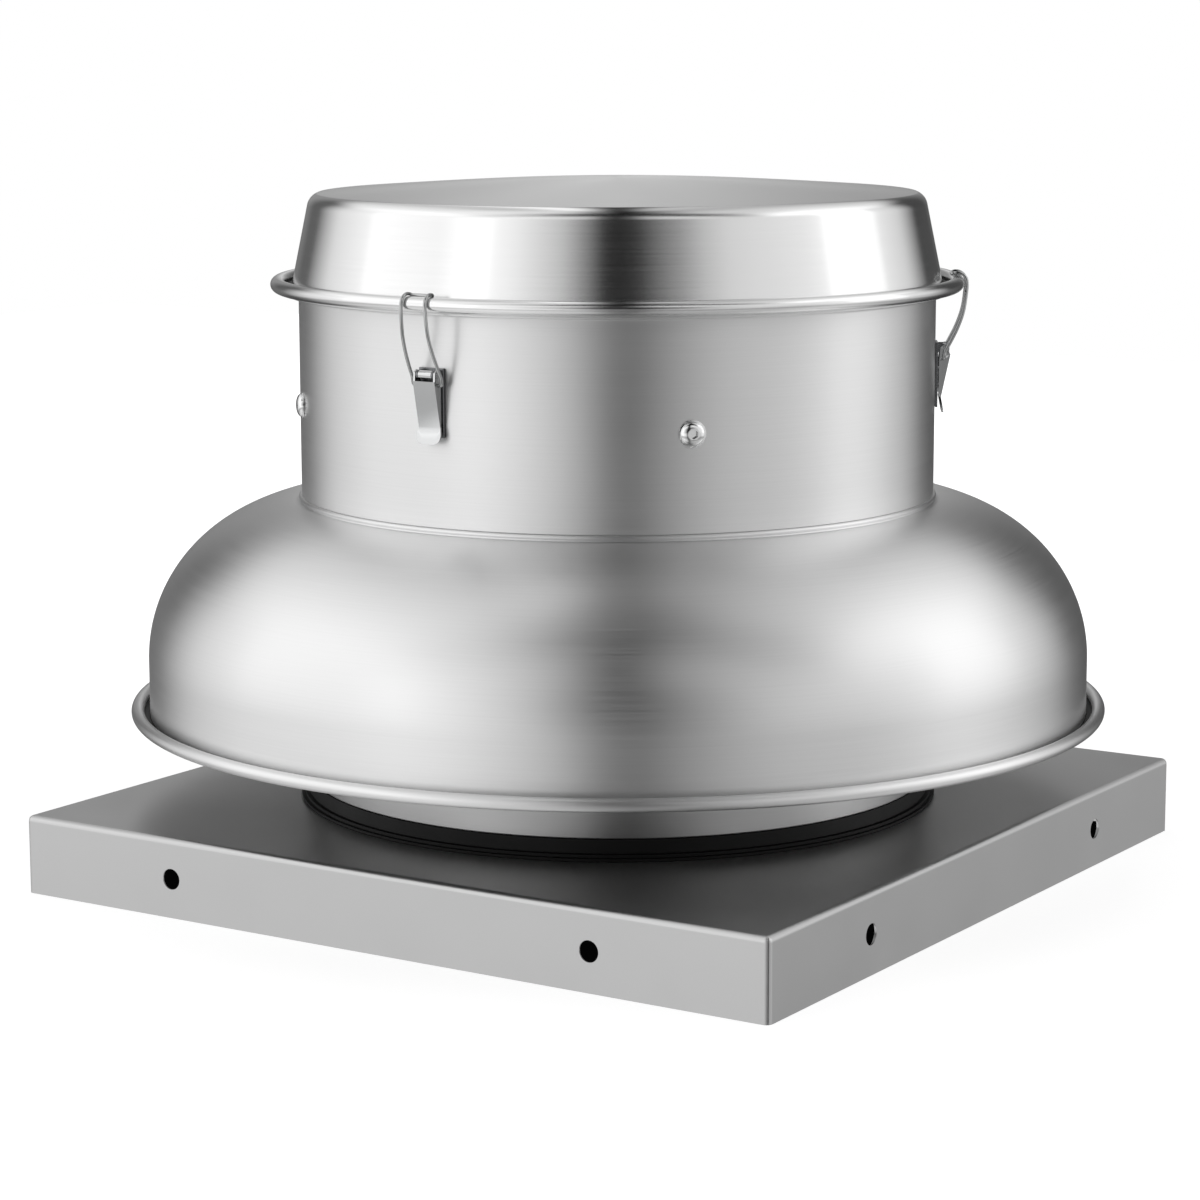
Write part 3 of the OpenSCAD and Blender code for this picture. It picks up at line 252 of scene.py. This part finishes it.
FINISH = {
    "sheet_aluminium": SHEET_MILL,
    "spun_aluminium": BELL_SPUN,
    "wheel_aluminium": WHEEL_SHEET,
    "aluminium_rivet": RIVET_ALUMINIUM,
    "seal_rubber": SEAL_RUBBER,
    "zinc_steel": ZINC_STEEL,
    "stainless": STAINLESS,
    "motor_paint": MOTOR_PAINT,
    "bearing_steel": BEARING_STEEL,
    "core_steel": CORE_STEEL,
    "winding_copper": COPPER,
    "box_zinc": BOX_ZINC,
    "switch_plastic": SWITCH_PLASTIC,
    "toggle_nickel": TOGGLE_NICKEL,
    "capacitor_can": CAPACITOR_CAN,
    "cable_sheath": CABLE_SHEATH,
}

# Parts whose surface differs from the rest of their material
OWN_FINISH = {"housing_screws": HEAD_STEEL}
# Edge break in millimetres; folded and sheared sheet is broken less than turned and moulded parts
EDGE_BREAK = {"throat_seal": 0.25, "housing_screws": 0.25}
for latch in LATCH_TURNS:
    # Latch bases take the stamped steel, whose dark colour is partly mill skin and partly painted shade
    OWN_FINISH["latch_base_%d" % latch] = STAMPED_STEEL_PAINTED_SHADE
    EDGE_BREAK["latch_base_%d" % latch] = 0.15
    EDGE_BREAK["latch_lever_%d" % latch] = 0.2


# CAD parts that stay

# Points of a CAD mesh that are closer than this are one, in millimetres
WELD = 0.002


def even_shade(piece, weight=80):
    """Keeps flat faces flat in the light, beside faces that are rounded."""
    piece.modifiers.new("even_shade", "WEIGHTED_NORMAL").weight = weight


def break_edges(piece, width, sharp):
    """Rounds the edges that turn by more than this many degrees; the width is in millimetres."""
    edge = piece.modifiers.new("edge_break", "BEVEL")
    edge.width = width * MM
    edge.segments = 2
    edge.limit_method = "ANGLE"
    edge.angle_limit = math.radians(sharp)


def soften(node, width):
    """Breaks a CAD part's sharp edges, once the points that its faces share are joined."""
    node.modifiers.new("weld", "WELD").merge_threshold = WELD * MM
    break_edges(node, width, sharp=40.0)
    even_shade(node)


def dress_cad():
    """Each CAD part takes its own finish, or that of its material slot in the record."""
    slots = {row["node"]: row["material_slot"] for row in frame["record"]["subparts"]}
    for name, node in frame["nodes"].items():
        node.data.materials.clear()
        node.data.materials.append(OWN_FINISH.get(name, FINISH[slots[name]]))
        if name in EDGE_BREAK:
            soften(node, EDGE_BREAK[name])


dress_cad()


# Turned shells

# Steps of a full turn, and the radius in millimetres below which a point lies on the axis
TURNS = 256
ON_AXIS = 1e-6


def arc(r, z, size, start, stop, steps, tall=None):
    """Points on a circle in the section plane, in degrees, ends included; on an ellipse if its half
    height is given beside its half width."""
    tall = size if tall is None else tall
    angles = [math.radians(start + (stop - start) * i / steps) for i in range(steps + 1)]
    return [(r + size * math.cos(a), z + tall * math.sin(a)) for a in angles]


def turned(name, section, finish, node, fold=None):
    """A closed section of (radius, height) in millimetres, turned round the shaft's axis. A fold is the
    lowest and highest radius and the lowest and highest place of the faces that carry painted shade."""
    points, rows, faces = [], [], []
    for r, z in section:
        count = 1 if r < ON_AXIS else TURNS
        rows.append((len(points), count))
        for i in range(count):
            a = 2.0 * math.pi * i / TURNS
            points.append((r * MM * math.cos(a), r * MM * math.sin(a), z * MM))
    for (low, low_n), (high, high_n) in zip(rows, rows[1:] + rows[:1]):
        if low_n == 1 and high_n == 1:
            continue
        for i in range(TURNS):
            j = (i + 1) % TURNS
            ring = [low + i % low_n, high + i % high_n, high + j % high_n, low + j % low_n]
            faces.append(list(dict.fromkeys(ring)))
    mesh = bpy.data.meshes.new(name)
    mesh.from_pydata(points, [], faces)
    mesh.shade_smooth()
    mesh.materials.append(finish)
    if fold:
        # Faces in the fold take a dark material: painted shade for the shadow in the trough
        mesh.materials.append(HEM_PAINTED_SHADE)
        for face in mesh.polygons:
            corners = [mesh.vertices[i].co / MM for i in face.vertices]
            if all(fold[0] < math.hypot(p.x, p.y) < fold[1] and fold[2] < p.z < fold[3] for p in corners):
                face.material_index = 1
    piece = put(name, mesh)
    even_shade(piece)
    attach(piece, BODY)
    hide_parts(node)
    return piece


# Sheet of the shells, the seam between bell and housing, and a corner taken off a cut edge
SHEET = 1.5
SEAM = 196.5
CHIP = 0.3
# The lid's bead: middle of its roll, and its radius
LID_BEAD, LID_BEAD_R = (172.37, 303.4), 3.67
# Folds behind the beads whose faces carry painted shade: lowest and highest radius, lowest and highest place
BELL_FOLD = (241.0, 245.2, 84.5, 87.0)
LID_FOLD = (164.9, 169.6, 302.2, 304.3)


def bell_section():
    """Neck with a rolled lip, quarter-ellipse dome, straight wall, trough and rolled bead."""
    dome_r, dome_z, wide, tall = 158.3, 113.4, 83.0, 80.0
    neck, lip_at, lip = 162.4, (162.2, 195.25), 1.15
    wall, floor, bead_at, bead = 241.3, 85.0, (247.55, 87.2), 3.25
    root, root_under, under_z, mid, high = 0.5, 1.2, 85.2, 96.0, 105.0
    trough, heel = 244.4, (244.0, 83.98)
    eye, deck, deck_mid, deck_under, corner = 132.0, 161.2, 159.0, 159.4, (160.6, 194.6)
    start = math.degrees(math.acos((neck + 0.6 - dome_r) / wide))

    top = [(eye, SEAM), (eye + CHIP, SEAM), (deck_mid, SEAM), (deck, SEAM)]
    roll = arc(*lip_at, lip, 78.0, -62.0, 10)
    outer = arc(dome_r, dome_z, wide, start, 0.0, 56, tall)
    outer += [(wall, high), (wall, mid), (wall, floor + root + 0.3)]
    hollow = arc(wall + root, floor + root, root, 180.0, 270.0, 4) + [(trough, floor)]
    rolled = arc(*bead_at, bead, 218.0, -118.0, 36)
    under = [heel] + arc(wall + root_under, under_z, root_under, 270.0, 180.0, 6)
    inner = [(wall - SHEET, mid), (wall - SHEET, high)]
    inner += arc(dome_r, dome_z, wide - SHEET, 0.0, start, 48, tall - SHEET)
    low = SEAM - SHEET
    back = [corner, (deck_under, low), (eye + CHIP, low), (eye, low + CHIP)]
    return top + roll + outer + hollow + rolled + under + inner + back


def lid_section():
    """Crown, soft shoulder with a fine crease on top, tapered wall, trough and rolled bead."""
    top, rise, power = 357.0, 8.2, 1.35
    at, height, shoulder, taper, turn = 149.05, 341.33, 8.0, 11.8, 69.0
    wall, base, root = 165.3, 302.63, 1.4
    lean = math.radians(taper)

    def drop(share):
        """Fall of the crown at a share of its radius; near its centre, where the power law would come to
        a point, a parabola takes over."""
        joint = 0.6
        slope = power * joint ** (power - 1.0)
        inside = joint ** power + slope * (share * share - joint * joint) / (2.0 * joint)
        return share ** power if share > joint else inside

    def crown(cut, steps):
        """The crown from its centre outwards, lowered by a thickness."""
        edge = at + (shoulder - cut) * math.cos(math.radians(turn))
        return [(edge * i / steps, top - rise * drop(i / steps) - cut) for i in range(steps)]

    def lean_at(z, cut):
        """Radius of the tapered wall at a height, cut back by a thickness."""
        return wall - cut / math.cos(lean) - (z - base) * math.tan(lean)

    outer = crown(0.0, 30) + arc(at, height, shoulder, turn, taper, 16)
    face = [(lean_at(z, 0.0), z) for z in (330.0, 318.0, 308.0, base + root + 0.6)]
    root_at = lean_at(base + root, 0.0) + root
    hollow = arc(root_at, base + root, root, 180.0, 270.0, 6)
    rolled = arc(*LID_BEAD, LID_BEAD_R, 192.5, -142.0, 40)
    under = [(LID_BEAD[0] - 3.2, base - SHEET), (root_at, base - SHEET)]
    under += arc(root_at, base + root, root + SHEET, 262.0, 190.0, 6)
    inner = [(lean_at(z, SHEET), z) for z in (310.0, 322.0, 334.0)]
    shell = arc(at, height, shoulder - SHEET, taper, turn, 12) + crown(SHEET, 24)[::-1]
    return outer + face + hollow + rolled + under + inner + shell


def housing_section():
    """Straight rolled wall with a small flange on top that carries the lid."""
    wall, top, flange = 161.9, 299.63, 168.1
    root, soft, soft_mid, soft_up = 1.2, 0.4, 0.12, 0.45
    rows = (200.0, 230.0, 262.0, 290.0)
    low = [(wall - SHEET, SEAM + CHIP), (wall - SHEET + CHIP, SEAM), (wall - soft, SEAM),
           (wall - soft_mid, SEAM + soft_mid), (wall, SEAM + soft_up)]
    face = [(wall, z) for z in rows + (top - SHEET - root - soft,)]
    turn = arc(wall + root, top - SHEET - root, root, 180.0, 90.0, 5)
    out = [(flange - soft, top - SHEET), (flange, top - SHEET + CHIP), (flange, top - CHIP),
           (flange - soft, top)]
    back = [(wall - SHEET + soft, top), (wall - SHEET, top - soft)]
    inner = [(wall - SHEET, z) for z in rows[::-1]]
    return low + face + turn + out + back + inner


def ring_section():
    """Rolled ring with an inward foot on the seal and an inward deck that carries the cone."""
    wall, low, top, foot, deck = 159.3, 50.0, 100.0, 153.8, 122.0
    bend, heel, flat, soft = 2.0, 0.8, 1.2, 0.4
    rows = (56.0, 70.0, 84.0)
    outer = [(foot, low), (wall - flat, low)] + arc(wall - heel, low + heel, heel, -80.0, 0.0, 4)
    outer += [(wall, z) for z in rows + (top - bend - soft,)]
    outer += arc(wall - bend, top - bend, bend, 0.0, 90.0, 6) + [(deck + CHIP, top), (deck, top - CHIP)]
    inner = [(deck, top - SHEET), (wall - bend, top - SHEET), (wall - SHEET, top - bend)]
    inner += [(wall - SHEET, z) for z in rows[::-1]]
    return outer + inner + [(wall - SHEET, low + SHEET), (foot, low + SHEET)]


turned("bell_shell", bell_section(), BELL_SPUN, "bell", BELL_FOLD)
turned("lid_shell", lid_section(), LID_SPUN, "lid", LID_FOLD)
turned("housing_shell", housing_section(), HOUSING_ROLLED, "motor_housing")
# The inlet ring's colour carries painted shade from the bell above it
turned("inlet_ring_shell", ring_section(), RING_PAINTED_SHADE, "inlet_ring")


# Curb cap

# The square cap over its skirt, the skirt's height, its sheet, and the radius of its air opening
CAP = 432.0
SKIRT = 40.0
CAP_SHEET = 2.0
THROAT_R = 128.0


def block(side, top, low, fold):
    """A block with rounded upright corners and upper edges, as a bmesh in millimetres."""
    shape = bmesh.new()
    bmesh.ops.create_cube(shape, size=1.0)
    for v in shape.verts:
        v.co = Vector((v.co.x * side, v.co.y * side, top if v.co.z > 0 else low))
    folded = [e for e in shape.edges if max(v.co.z for v in e.verts) > low]
    bmesh.ops.bevel(shape, geom=folded, offset=fold, segments=6, profile=0.5, affect="EDGES")
    return shape


def drill(shape, radius, depth, place, sides=64):
    """Adds a cylinder to a bmesh, to cut a hole with."""
    bmesh.ops.create_cone(shape, cap_ends=True, segments=sides, radius1=radius, radius2=radius, depth=depth,
                          matrix=place)


def as_object(name, shape):
    """A bmesh in millimetres as an object in metres."""
    bmesh.ops.scale(shape, vec=(MM, MM, MM), verts=shape.verts)
    bmesh.ops.recalc_face_normals(shape, faces=shape.faces)
    mesh = bpy.data.meshes.new(name)
    shape.to_mesh(mesh)
    shape.free()
    return put(name, mesh)


def carve(piece, cutter):
    """Cuts one object out of another for good."""
    cut = piece.modifiers.new("cut", "BOOLEAN")
    cut.object = cutter
    cut.operation = "DIFFERENCE"
    cut.solver = "EXACT"
    bpy.context.view_layer.update()
    done = piece.evaluated_get(bpy.context.evaluated_depsgraph_get())
    piece.data = bpy.data.meshes.new_from_object(done)
    piece.modifiers.clear()
    bpy.data.objects.remove(cutter)


def build_cap():
    """Folded cap: rounded corners with a fine open seam, anchor holes, air opening and chase hole."""
    hole_r, hole_at, hole_z, chase_r, chase_at = 5.2, 122.0, 19.7, 7.65, -142.5
    fold_out, fold_in, through = 3.0, 1.0, 20.0
    seam, seam_in, seam_out, seam_over = 0.45, 303.1, 307.0, 4.0
    # Each anchor hole is relieved from inside, so that its edge looks as thin as in the photograph
    relief_r, relief_deep, lip = 6.6, 10.0, 0.7
    lay = Matrix.Rotation(math.radians(90.0), 4, "X")
    inwards = Matrix.Translation((0, 0, lip + relief_deep / 2))

    cap = as_object("cap_shell", block(CAP, SKIRT, 0.0, fold_out))
    carve(cap, as_object("hollow", block(CAP - 2 * CAP_SHEET, SKIRT - CAP_SHEET, -1.0, fold_in)))
    cuts, reliefs = bmesh.new(), bmesh.new()
    drill(cuts, THROAT_R, through, Matrix.Translation((0, 0, SKIRT)), 192)
    drill(cuts, chase_r, through, Matrix.Translation((chase_at, 0, SKIRT)))
    for quarter in range(4):
        spin = Matrix.Rotation(math.radians(90.0 * quarter), 4, "Z")
        for side in (-1, 1):
            at = spin @ Matrix.Translation((side * hole_at, CAP / 2, hole_z)) @ lay
            drill(cuts, hole_r, through, at)
            drill(reliefs, relief_r, relief_deep, at @ inwards)
        groove = bmesh.ops.create_cube(cuts, size=1.0)["verts"]
        bmesh.ops.scale(cuts, vec=(seam_out - seam_in, seam, SKIRT + seam_over), verts=groove)
        bmesh.ops.translate(cuts, vec=((seam_in + seam_out) / 2, 0, SKIRT / 2), verts=groove)
        bmesh.ops.rotate(cuts, cent=(0, 0, 0), verts=groove,
                         matrix=Matrix.Rotation(math.radians(45.0 + 90.0 * quarter), 3, "Z"))
    carve(cap, as_object("reliefs", reliefs))
    carve(cap, as_object("cuts", cuts))

    cap.data.materials.clear()
    cap.data.materials.append(SHEET_MILL)
    cap.data.shade_smooth()
    break_edges(cap, width=0.3, sharp=50.0)
    even_shade(cap, weight=90)
    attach(cap, BODY)
    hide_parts("curb_cap")


def collar_section():
    """Drawn collar round the cap's air opening."""
    low, high, inner, outer, lip = 38.4, 47.0, THROAT_R, THROAT_R + CAP_SHEET, 0.5
    return [(inner, low), (inner, high - lip), (inner + lip, high), (outer - lip, high), (outer, high - lip),
            (outer, low)]


build_cap()
collar = turned("cap_collar", collar_section(), SHEET_MILL, "curb_cap")


# Latch wires

WIRE_R = 0.85
# Where a bail turns in its lever: distance from the shaft's axis, and height
PIVOT = (166.0, 265.0)


def smooth(points, steps):
    """Catmull-Rom curve through given points."""
    out = []
    for i in range(len(points) - 1):
        a, b, c, d = (Vector(points[k]) for k in (max(i - 1, 0), i, i + 1, min(i + 2, len(points) - 1)))
        for k in range(steps):
            t = k / steps
            out.append(0.5 * (2 * b + (c - a) * t + (2 * a - 5 * b + 4 * c - d) * t * t
                              + (3 * b - a - 3 * c + d) * t ** 3))
    return out + [Vector(points[-1])]


def bail_route():
    """The bail's wire in its latch's frame: out of one cheek, up, over the lid's bead and back."""
    y, z = PIVOT
    gap, leg = 0.35, 8.3
    bead_y, bead_z = LID_BEAD
    wrap = LID_BEAD_R + WIRE_R + gap
    out = bead_y + wrap

    def over(x, turn):
        """A point of the wire on its way round the bead, at an angle from the bead's outer side."""
        at = math.radians(turn)
        return (x, bead_y + wrap * math.cos(at), bead_z + wrap * math.sin(at))

    side = [(5.4, y, z), (7.0, y, z), (leg - 0.25, y + 0.05, z + 0.3), (leg, y + 0.35, z + 1.6),
            (leg, y + 0.9, z + 4.0), (leg - 0.2, y + 3.6, z + 9.0), (leg - 0.6, out - 4.3, z + 16.0),
            (leg - 1.0, out - 1.6, z + 24.0), (leg - 1.3, out - 0.35, bead_z - 6.0)]
    side += [over(leg - 1.5 - turn / 300.0, turn) for turn in (0.0, 40.0, 75.0, 105.0)]
    side += [over(leg - 2.2, 119.0), over(leg - 3.2, 122.0)]
    other = [(-x, py, pz) for x, py, pz in reversed(side)]
    return smooth(side + [over(0.0, 122.0)] + other, 5)


def bail_wire(number, turn):
    """One bail as round wire on its own body."""
    curve = bpy.data.curves.new("bail_wire_%d" % number, "CURVE")
    curve.dimensions = "3D"
    curve.bevel_depth = WIRE_R * MM
    curve.bevel_resolution = 5
    curve.use_fill_caps = True
    spin = Matrix.Rotation(math.radians(turn - 90.0), 3, "Z")
    route = [spin @ p * MM for p in bail_route()]
    line = curve.splines.new("POLY")
    line.points.add(len(route) - 1)
    for spot, p in zip(line.points, route):
        spot.co = (p.x, p.y, p.z, 1.0)
    curve.materials.append(WIRE_STEEL)
    piece = put(curve.name, curve)
    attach(piece, "bail_%d" % number)
    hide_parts("latch_bail_%d" % number)


for latch, latch_turn in LATCH_TURNS.items():
    bail_wire(latch, latch_turn)


# Studio

# Brightness of the studio, as stops of (place, level). The two walls and the lens's band go by bearing from
# the lens in degrees: two wide white walls, a dark gap at the lens and a dim wall behind the fan. The next
# three go from side to side overhead, over the lens, over the fan and behind it, and the last one from the
# floor to the top; their places are that component of the direction
LOW_WALL = [(-180, 0.08), (-162, 0.10), (-145, 0.12), (-122, 0.57), (-102, 0.72), (-78, 0.78), (-55, 0.87),
            (-46, 0.89), (-38, 0.86), (-29, 0.75), (-20, 0.67), (-12, 0.56), (-3, 0.20), (6, 0.14),
            (14, 0.34), (23, 0.42), (32, 0.46), (41, 0.49), (51, 0.49), (60, 0.49), (71, 0.58), (82, 0.70),
            (94, 0.69), (107, 0.56), (123, 0.41), (142, 0.09), (160, 0.05), (180, 0.08)]
HIGH_WALL = [(-180, 0.48), (-172, 0.20), (-164, 0.20), (-152, 0.08), (-142, 0.08), (-133, 0.33),
             (-123, 0.61), (-102, 0.80), (-67, 0.68), (-52, 0.91), (-38, 0.74), (-29, 0.58), (-20, 0.42),
             (-12, 0.17), (-5, 0.01), (9, 0.01), (15, 0.08), (23, 0.20), (32, 0.41), (41, 0.55),
             (51, 0.60), (60, 0.61), (71, 0.66), (84, 0.80), (94, 0.82), (107, 0.73), (125, 0.54),
             (141, 0.04), (158, 0.05), (168, 0.13), (175, 0.26), (180, 0.48)]
LENS_BAND = [(-180, 0.80), (-70, 0.80), (-52, 0.92), (-40, 0.86), (-30, 0.74), (-22, 0.66), (-12, 0.50),
             (-6, 0.10), (0, 0.01), (6, 0.10), (12, 0.42), (20, 0.60), (30, 0.68), (45, 0.72), (60, 0.70),
             (80, 0.76), (180, 0.76)]
OVER_LENS = [(-1.00, 0.88), (-0.80, 0.90), (-0.65, 0.60), (-0.49, 0.46), (-0.35, 0.26), (-0.26, 0.08),
             (-0.14, 0.00), (0.30, 0.00), (0.45, 0.06), (0.60, 0.24), (0.72, 0.52), (0.80, 0.82),
             (1.00, 0.86)]
OVER_FAN = [(-1.00, 0.96), (-0.80, 0.96), (-0.65, 0.76), (-0.48, 0.72), (-0.38, 0.66), (-0.29, 0.64),
            (-0.19, 0.56), (-0.09, 0.19), (0.00, 0.00), (0.05, 0.00), (0.12, 0.09), (0.22, 0.29),
            (0.31, 0.46), (0.41, 0.54), (0.50, 0.52), (0.61, 0.60), (0.69, 0.78), (0.76, 1.00),
            (1.00, 1.00)]
OVER_BACK = [(-1.00, 0.92), (-0.80, 0.92), (-0.65, 0.70), (-0.50, 0.62), (-0.36, 0.46), (-0.24, 0.46),
             (-0.19, 0.62), (-0.13, 0.92), (-0.09, 0.80), (-0.05, 0.30), (-0.02, 0.01), (0.02, 0.01),
             (0.05, 0.17), (0.08, 0.44), (0.12, 0.46), (0.20, 0.36), (0.31, 0.38), (0.42, 0.52),
             (0.60, 0.64), (0.75, 0.92), (1.00, 0.90)]
BY_HEIGHT = [(-1.00, 0.60), (-0.58, 0.80), (-0.46, 0.55), (-0.33, 0.45), (-0.25, 0.90), (-0.20, 1.00),
             (1.00, 1.00)]
STUDIO_LEVEL = 1.40
# Where one part gives way to the next, by the direction's component towards the lens or up
BACK_TO_FAN, FAN_TO_LENS = (-0.20, 0.15), (0.27, 0.47)
LOW_TO_HIGH, WALL_TO_CEILING = (-0.10, 0.08), (0.36, 0.56)
# The lens's band lies between wall and ceiling; the ceiling starts higher there, by this lift
BAND_FORWARD, BAND_HEIGHT = (0.56, 0.72), (0.40, 0.52)
LIFT_FORWARD, LIFT = (0.45, 0.75), 0.36
LENS_AZIMUTH = math.atan2(CAMERA_AT.y, CAMERA_AT.x)


def build_world():
    """White to the lens; every other ray sees the studio: walls by bearing, a ceiling with a dark strip
    along its middle, and less light from below."""
    world = bpy.data.worlds.new("studio")
    bpy.context.scene.world = world
    world.use_nodes = True
    tree = world.node_tree
    tree.nodes.clear()
    look = add(tree, "TexCoord").outputs["Generated"]
    facing = add(tree, "Mapping", {"Vector": look, "Rotation": (0.0, 0.0, -LENS_AZIMUTH)}).outputs[0]
    axes = add(tree, "SeparateXYZ", {"Vector": facing})
    forward, sideways, height = axes.outputs["X"], axes.outputs["Y"], axes.outputs["Z"]
    bearing = add(tree, "Math", {0: sideways, 1: forward}, operation="ARCTAN2").outputs[0]
    turn, side, rise = (
        add(tree, "Math", {0: source, 1: 1.0 / whole, 2: 0.5}, operation="MULTIPLY_ADD").outputs[0]
        for source, whole in ((bearing, 2.0 * math.pi), (sideways, 2.0), (height, 2.0)))

    levels = []
    for place, stops in ((turn, LOW_WALL), (turn, HIGH_WALL), (turn, LENS_BAND), (side, OVER_LENS),
                         (side, OVER_FAN), (side, OVER_BACK), (rise, BY_HEIGHT)):
        ramp = add(tree, "ValToRGB", {"Fac": place})
        edges = ramp.color_ramp.elements
        for at, _ in stops[1:-1]:
            edges.new(at / (stops[-1][0] - stops[0][0]) + 0.5)
        for edge, (_, level) in zip(edges, stops):
            edge.color = (level, level, level, 1.0)
        levels.append(ramp.outputs["Color"])
    low_wall, high_wall, lens_band, over_lens, over_fan, over_back, by_height = levels

    steps = []
    for source, (low, high) in ((forward, BACK_TO_FAN), (forward, FAN_TO_LENS), (height, LOW_TO_HIGH),
                                (forward, BAND_FORWARD), (height, BAND_HEIGHT), (forward, LIFT_FORWARD)):
        step = add(tree, "MapRange", {"Value": source, "From Min": low, "From Max": high},
                   interpolation_type="SMOOTHSTEP")
        steps.append(step.outputs["Result"])
    to_fan, to_lens, to_high, band_near, band_up, near_lens = steps

    rear = add(tree, "MixRGB", {"Fac": to_fan, "Color1": over_back, "Color2": over_fan}).outputs[0]
    ceiling = add(tree, "MixRGB", {"Fac": to_lens, "Color1": rear, "Color2": over_lens}).outputs[0]
    banded = add(tree, "Math", {0: band_near, 1: band_up}, operation="MULTIPLY").outputs[0]
    walls = add(tree, "MixRGB", {"Fac": to_high, "Color1": low_wall, "Color2": high_wall}).outputs[0]
    walls = add(tree, "MixRGB", {"Fac": banded, "Color1": walls, "Color2": lens_band}).outputs[0]
    lowered = add(tree, "Math", {0: near_lens, 1: -LIFT, 2: height}, operation="MULTIPLY_ADD").outputs[0]
    to_ceiling = add(tree, "MapRange", {"Value": lowered, "From Min": WALL_TO_CEILING[0],
                                        "From Max": WALL_TO_CEILING[1]},
                     interpolation_type="SMOOTHSTEP").outputs["Result"]
    room = add(tree, "MixRGB", {"Fac": to_ceiling, "Color1": walls, "Color2": ceiling}).outputs[0]
    room = add(tree, "MixRGB", {"Fac": 1.0, "Color1": room, "Color2": by_height},
               blend_type="MULTIPLY").outputs[0]

    path = add(tree, "LightPath")
    seen = add(tree, "Math", {0: path.outputs["Is Camera Ray"], 1: path.outputs["Is Transmission Ray"]},
               operation="MAXIMUM").outputs[0]
    studio = add(tree, "Background", {"Color": room, "Strength": STUDIO_LEVEL}).outputs[0]
    white = add(tree, "Background", {"Color": (1.0, 1.0, 1.0, 1.0), "Strength": 1.0}).outputs[0]
    mixed = add(tree, "MixShader", {0: seen, 1: studio, 2: white}).outputs[0]
    add(tree, "OutputWorld", {"Surface": mixed})


# Middle of the fan, in metres
AIM = Vector((0.0, 0.0, 0.18))


def softbox(name, degrees, distance, height, width, tall, watts):
    """A soft lamp at a bearing from the lens, in metres, aimed at the middle of the fan."""
    bearing = LENS_AZIMUTH + math.radians(degrees)
    data = bpy.data.lights.new(name, "AREA")
    data.shape = "RECTANGLE"
    data.size = width
    data.size_y = tall
    data.energy = watts
    lamp = put(name, data)
    lamp.location = Vector((distance * math.cos(bearing), distance * math.sin(bearing), height))
    lamp.rotation_euler = (AIM - lamp.location).to_track_quat("-Z", "Y").to_euler()


def matt(name, grey, rough):
    """A paint with no gloss of its own."""
    made, tree, skin = blank(name)
    skin.inputs["Base Color"].default_value = (grey, grey, grey, 1.0)
    skin.inputs["Roughness"].default_value = rough
    skin.inputs["Specular IOR Level"].default_value = 0.0
    return made, tree, skin


def build_floor():
    """A pale floor that shows white to the lens and keeps the fan's soft shadow; its part under the
    cap doesn't glow, so the anchor holes look into the dark."""
    near, far, reach, under = 0.35, 0.7, 2.6, 0.215
    glow_near, glow_far = 0.80, 1.05
    corners = [(-reach, -reach), (reach, -reach), (reach, reach), (-reach, reach)]
    inner = [(x / reach * under, y / reach * under) for x, y in corners]
    mesh = bpy.data.meshes.new("floor")
    mesh.from_pydata([(x, y, 0.0) for x, y in corners + inner], [],
                     [[i, (i + 1) % 4, 4 + (i + 1) % 4, 4 + i] for i in range(4)] + [[4, 5, 6, 7]])
    mesh.materials.append(matt("floor_shade", grey=0.01, rough=0.9)[0])
    glow, tree, skin = matt("floor_paint_lit", grey=0.40, rough=1.0)
    skin.inputs["Emission Color"].default_value = (1.0, 1.0, 1.0, 1.0)
    place = add(tree, "TexCoord").outputs["Object"]
    away = add(tree, "VectorMath", {0: place}, operation="LENGTH").outputs["Value"]
    level = add(tree, "MapRange", {"Value": away, "From Min": near, "From Max": far,
                                   "To Min": glow_near, "To Max": glow_far},
                interpolation_type="SMOOTHSTEP").outputs["Result"]
    to_lens = add(tree, "LightPath").outputs["Is Camera Ray"]
    shown = add(tree, "Math", {0: level, 1: to_lens}, operation="MULTIPLY").outputs[0]
    tree.links.new(shown, skin.inputs["Emission Strength"])
    mesh.materials.append(glow)
    for face in list(mesh.polygons)[:4]:
        face.material_index = 1
    floor = put("floor", mesh)
    floor.visible_glossy = False


build_world()
softbox("softbox_left", degrees=-72.0, distance=2.2, height=0.62, width=2.2, tall=1.3, watts=1.5)
softbox("softbox_right", degrees=92.0, distance=2.2, height=0.75, width=1.1, tall=1.3, watts=1.2)
build_floor()
bpy.context.scene.view_settings.view_transform = "Standard"
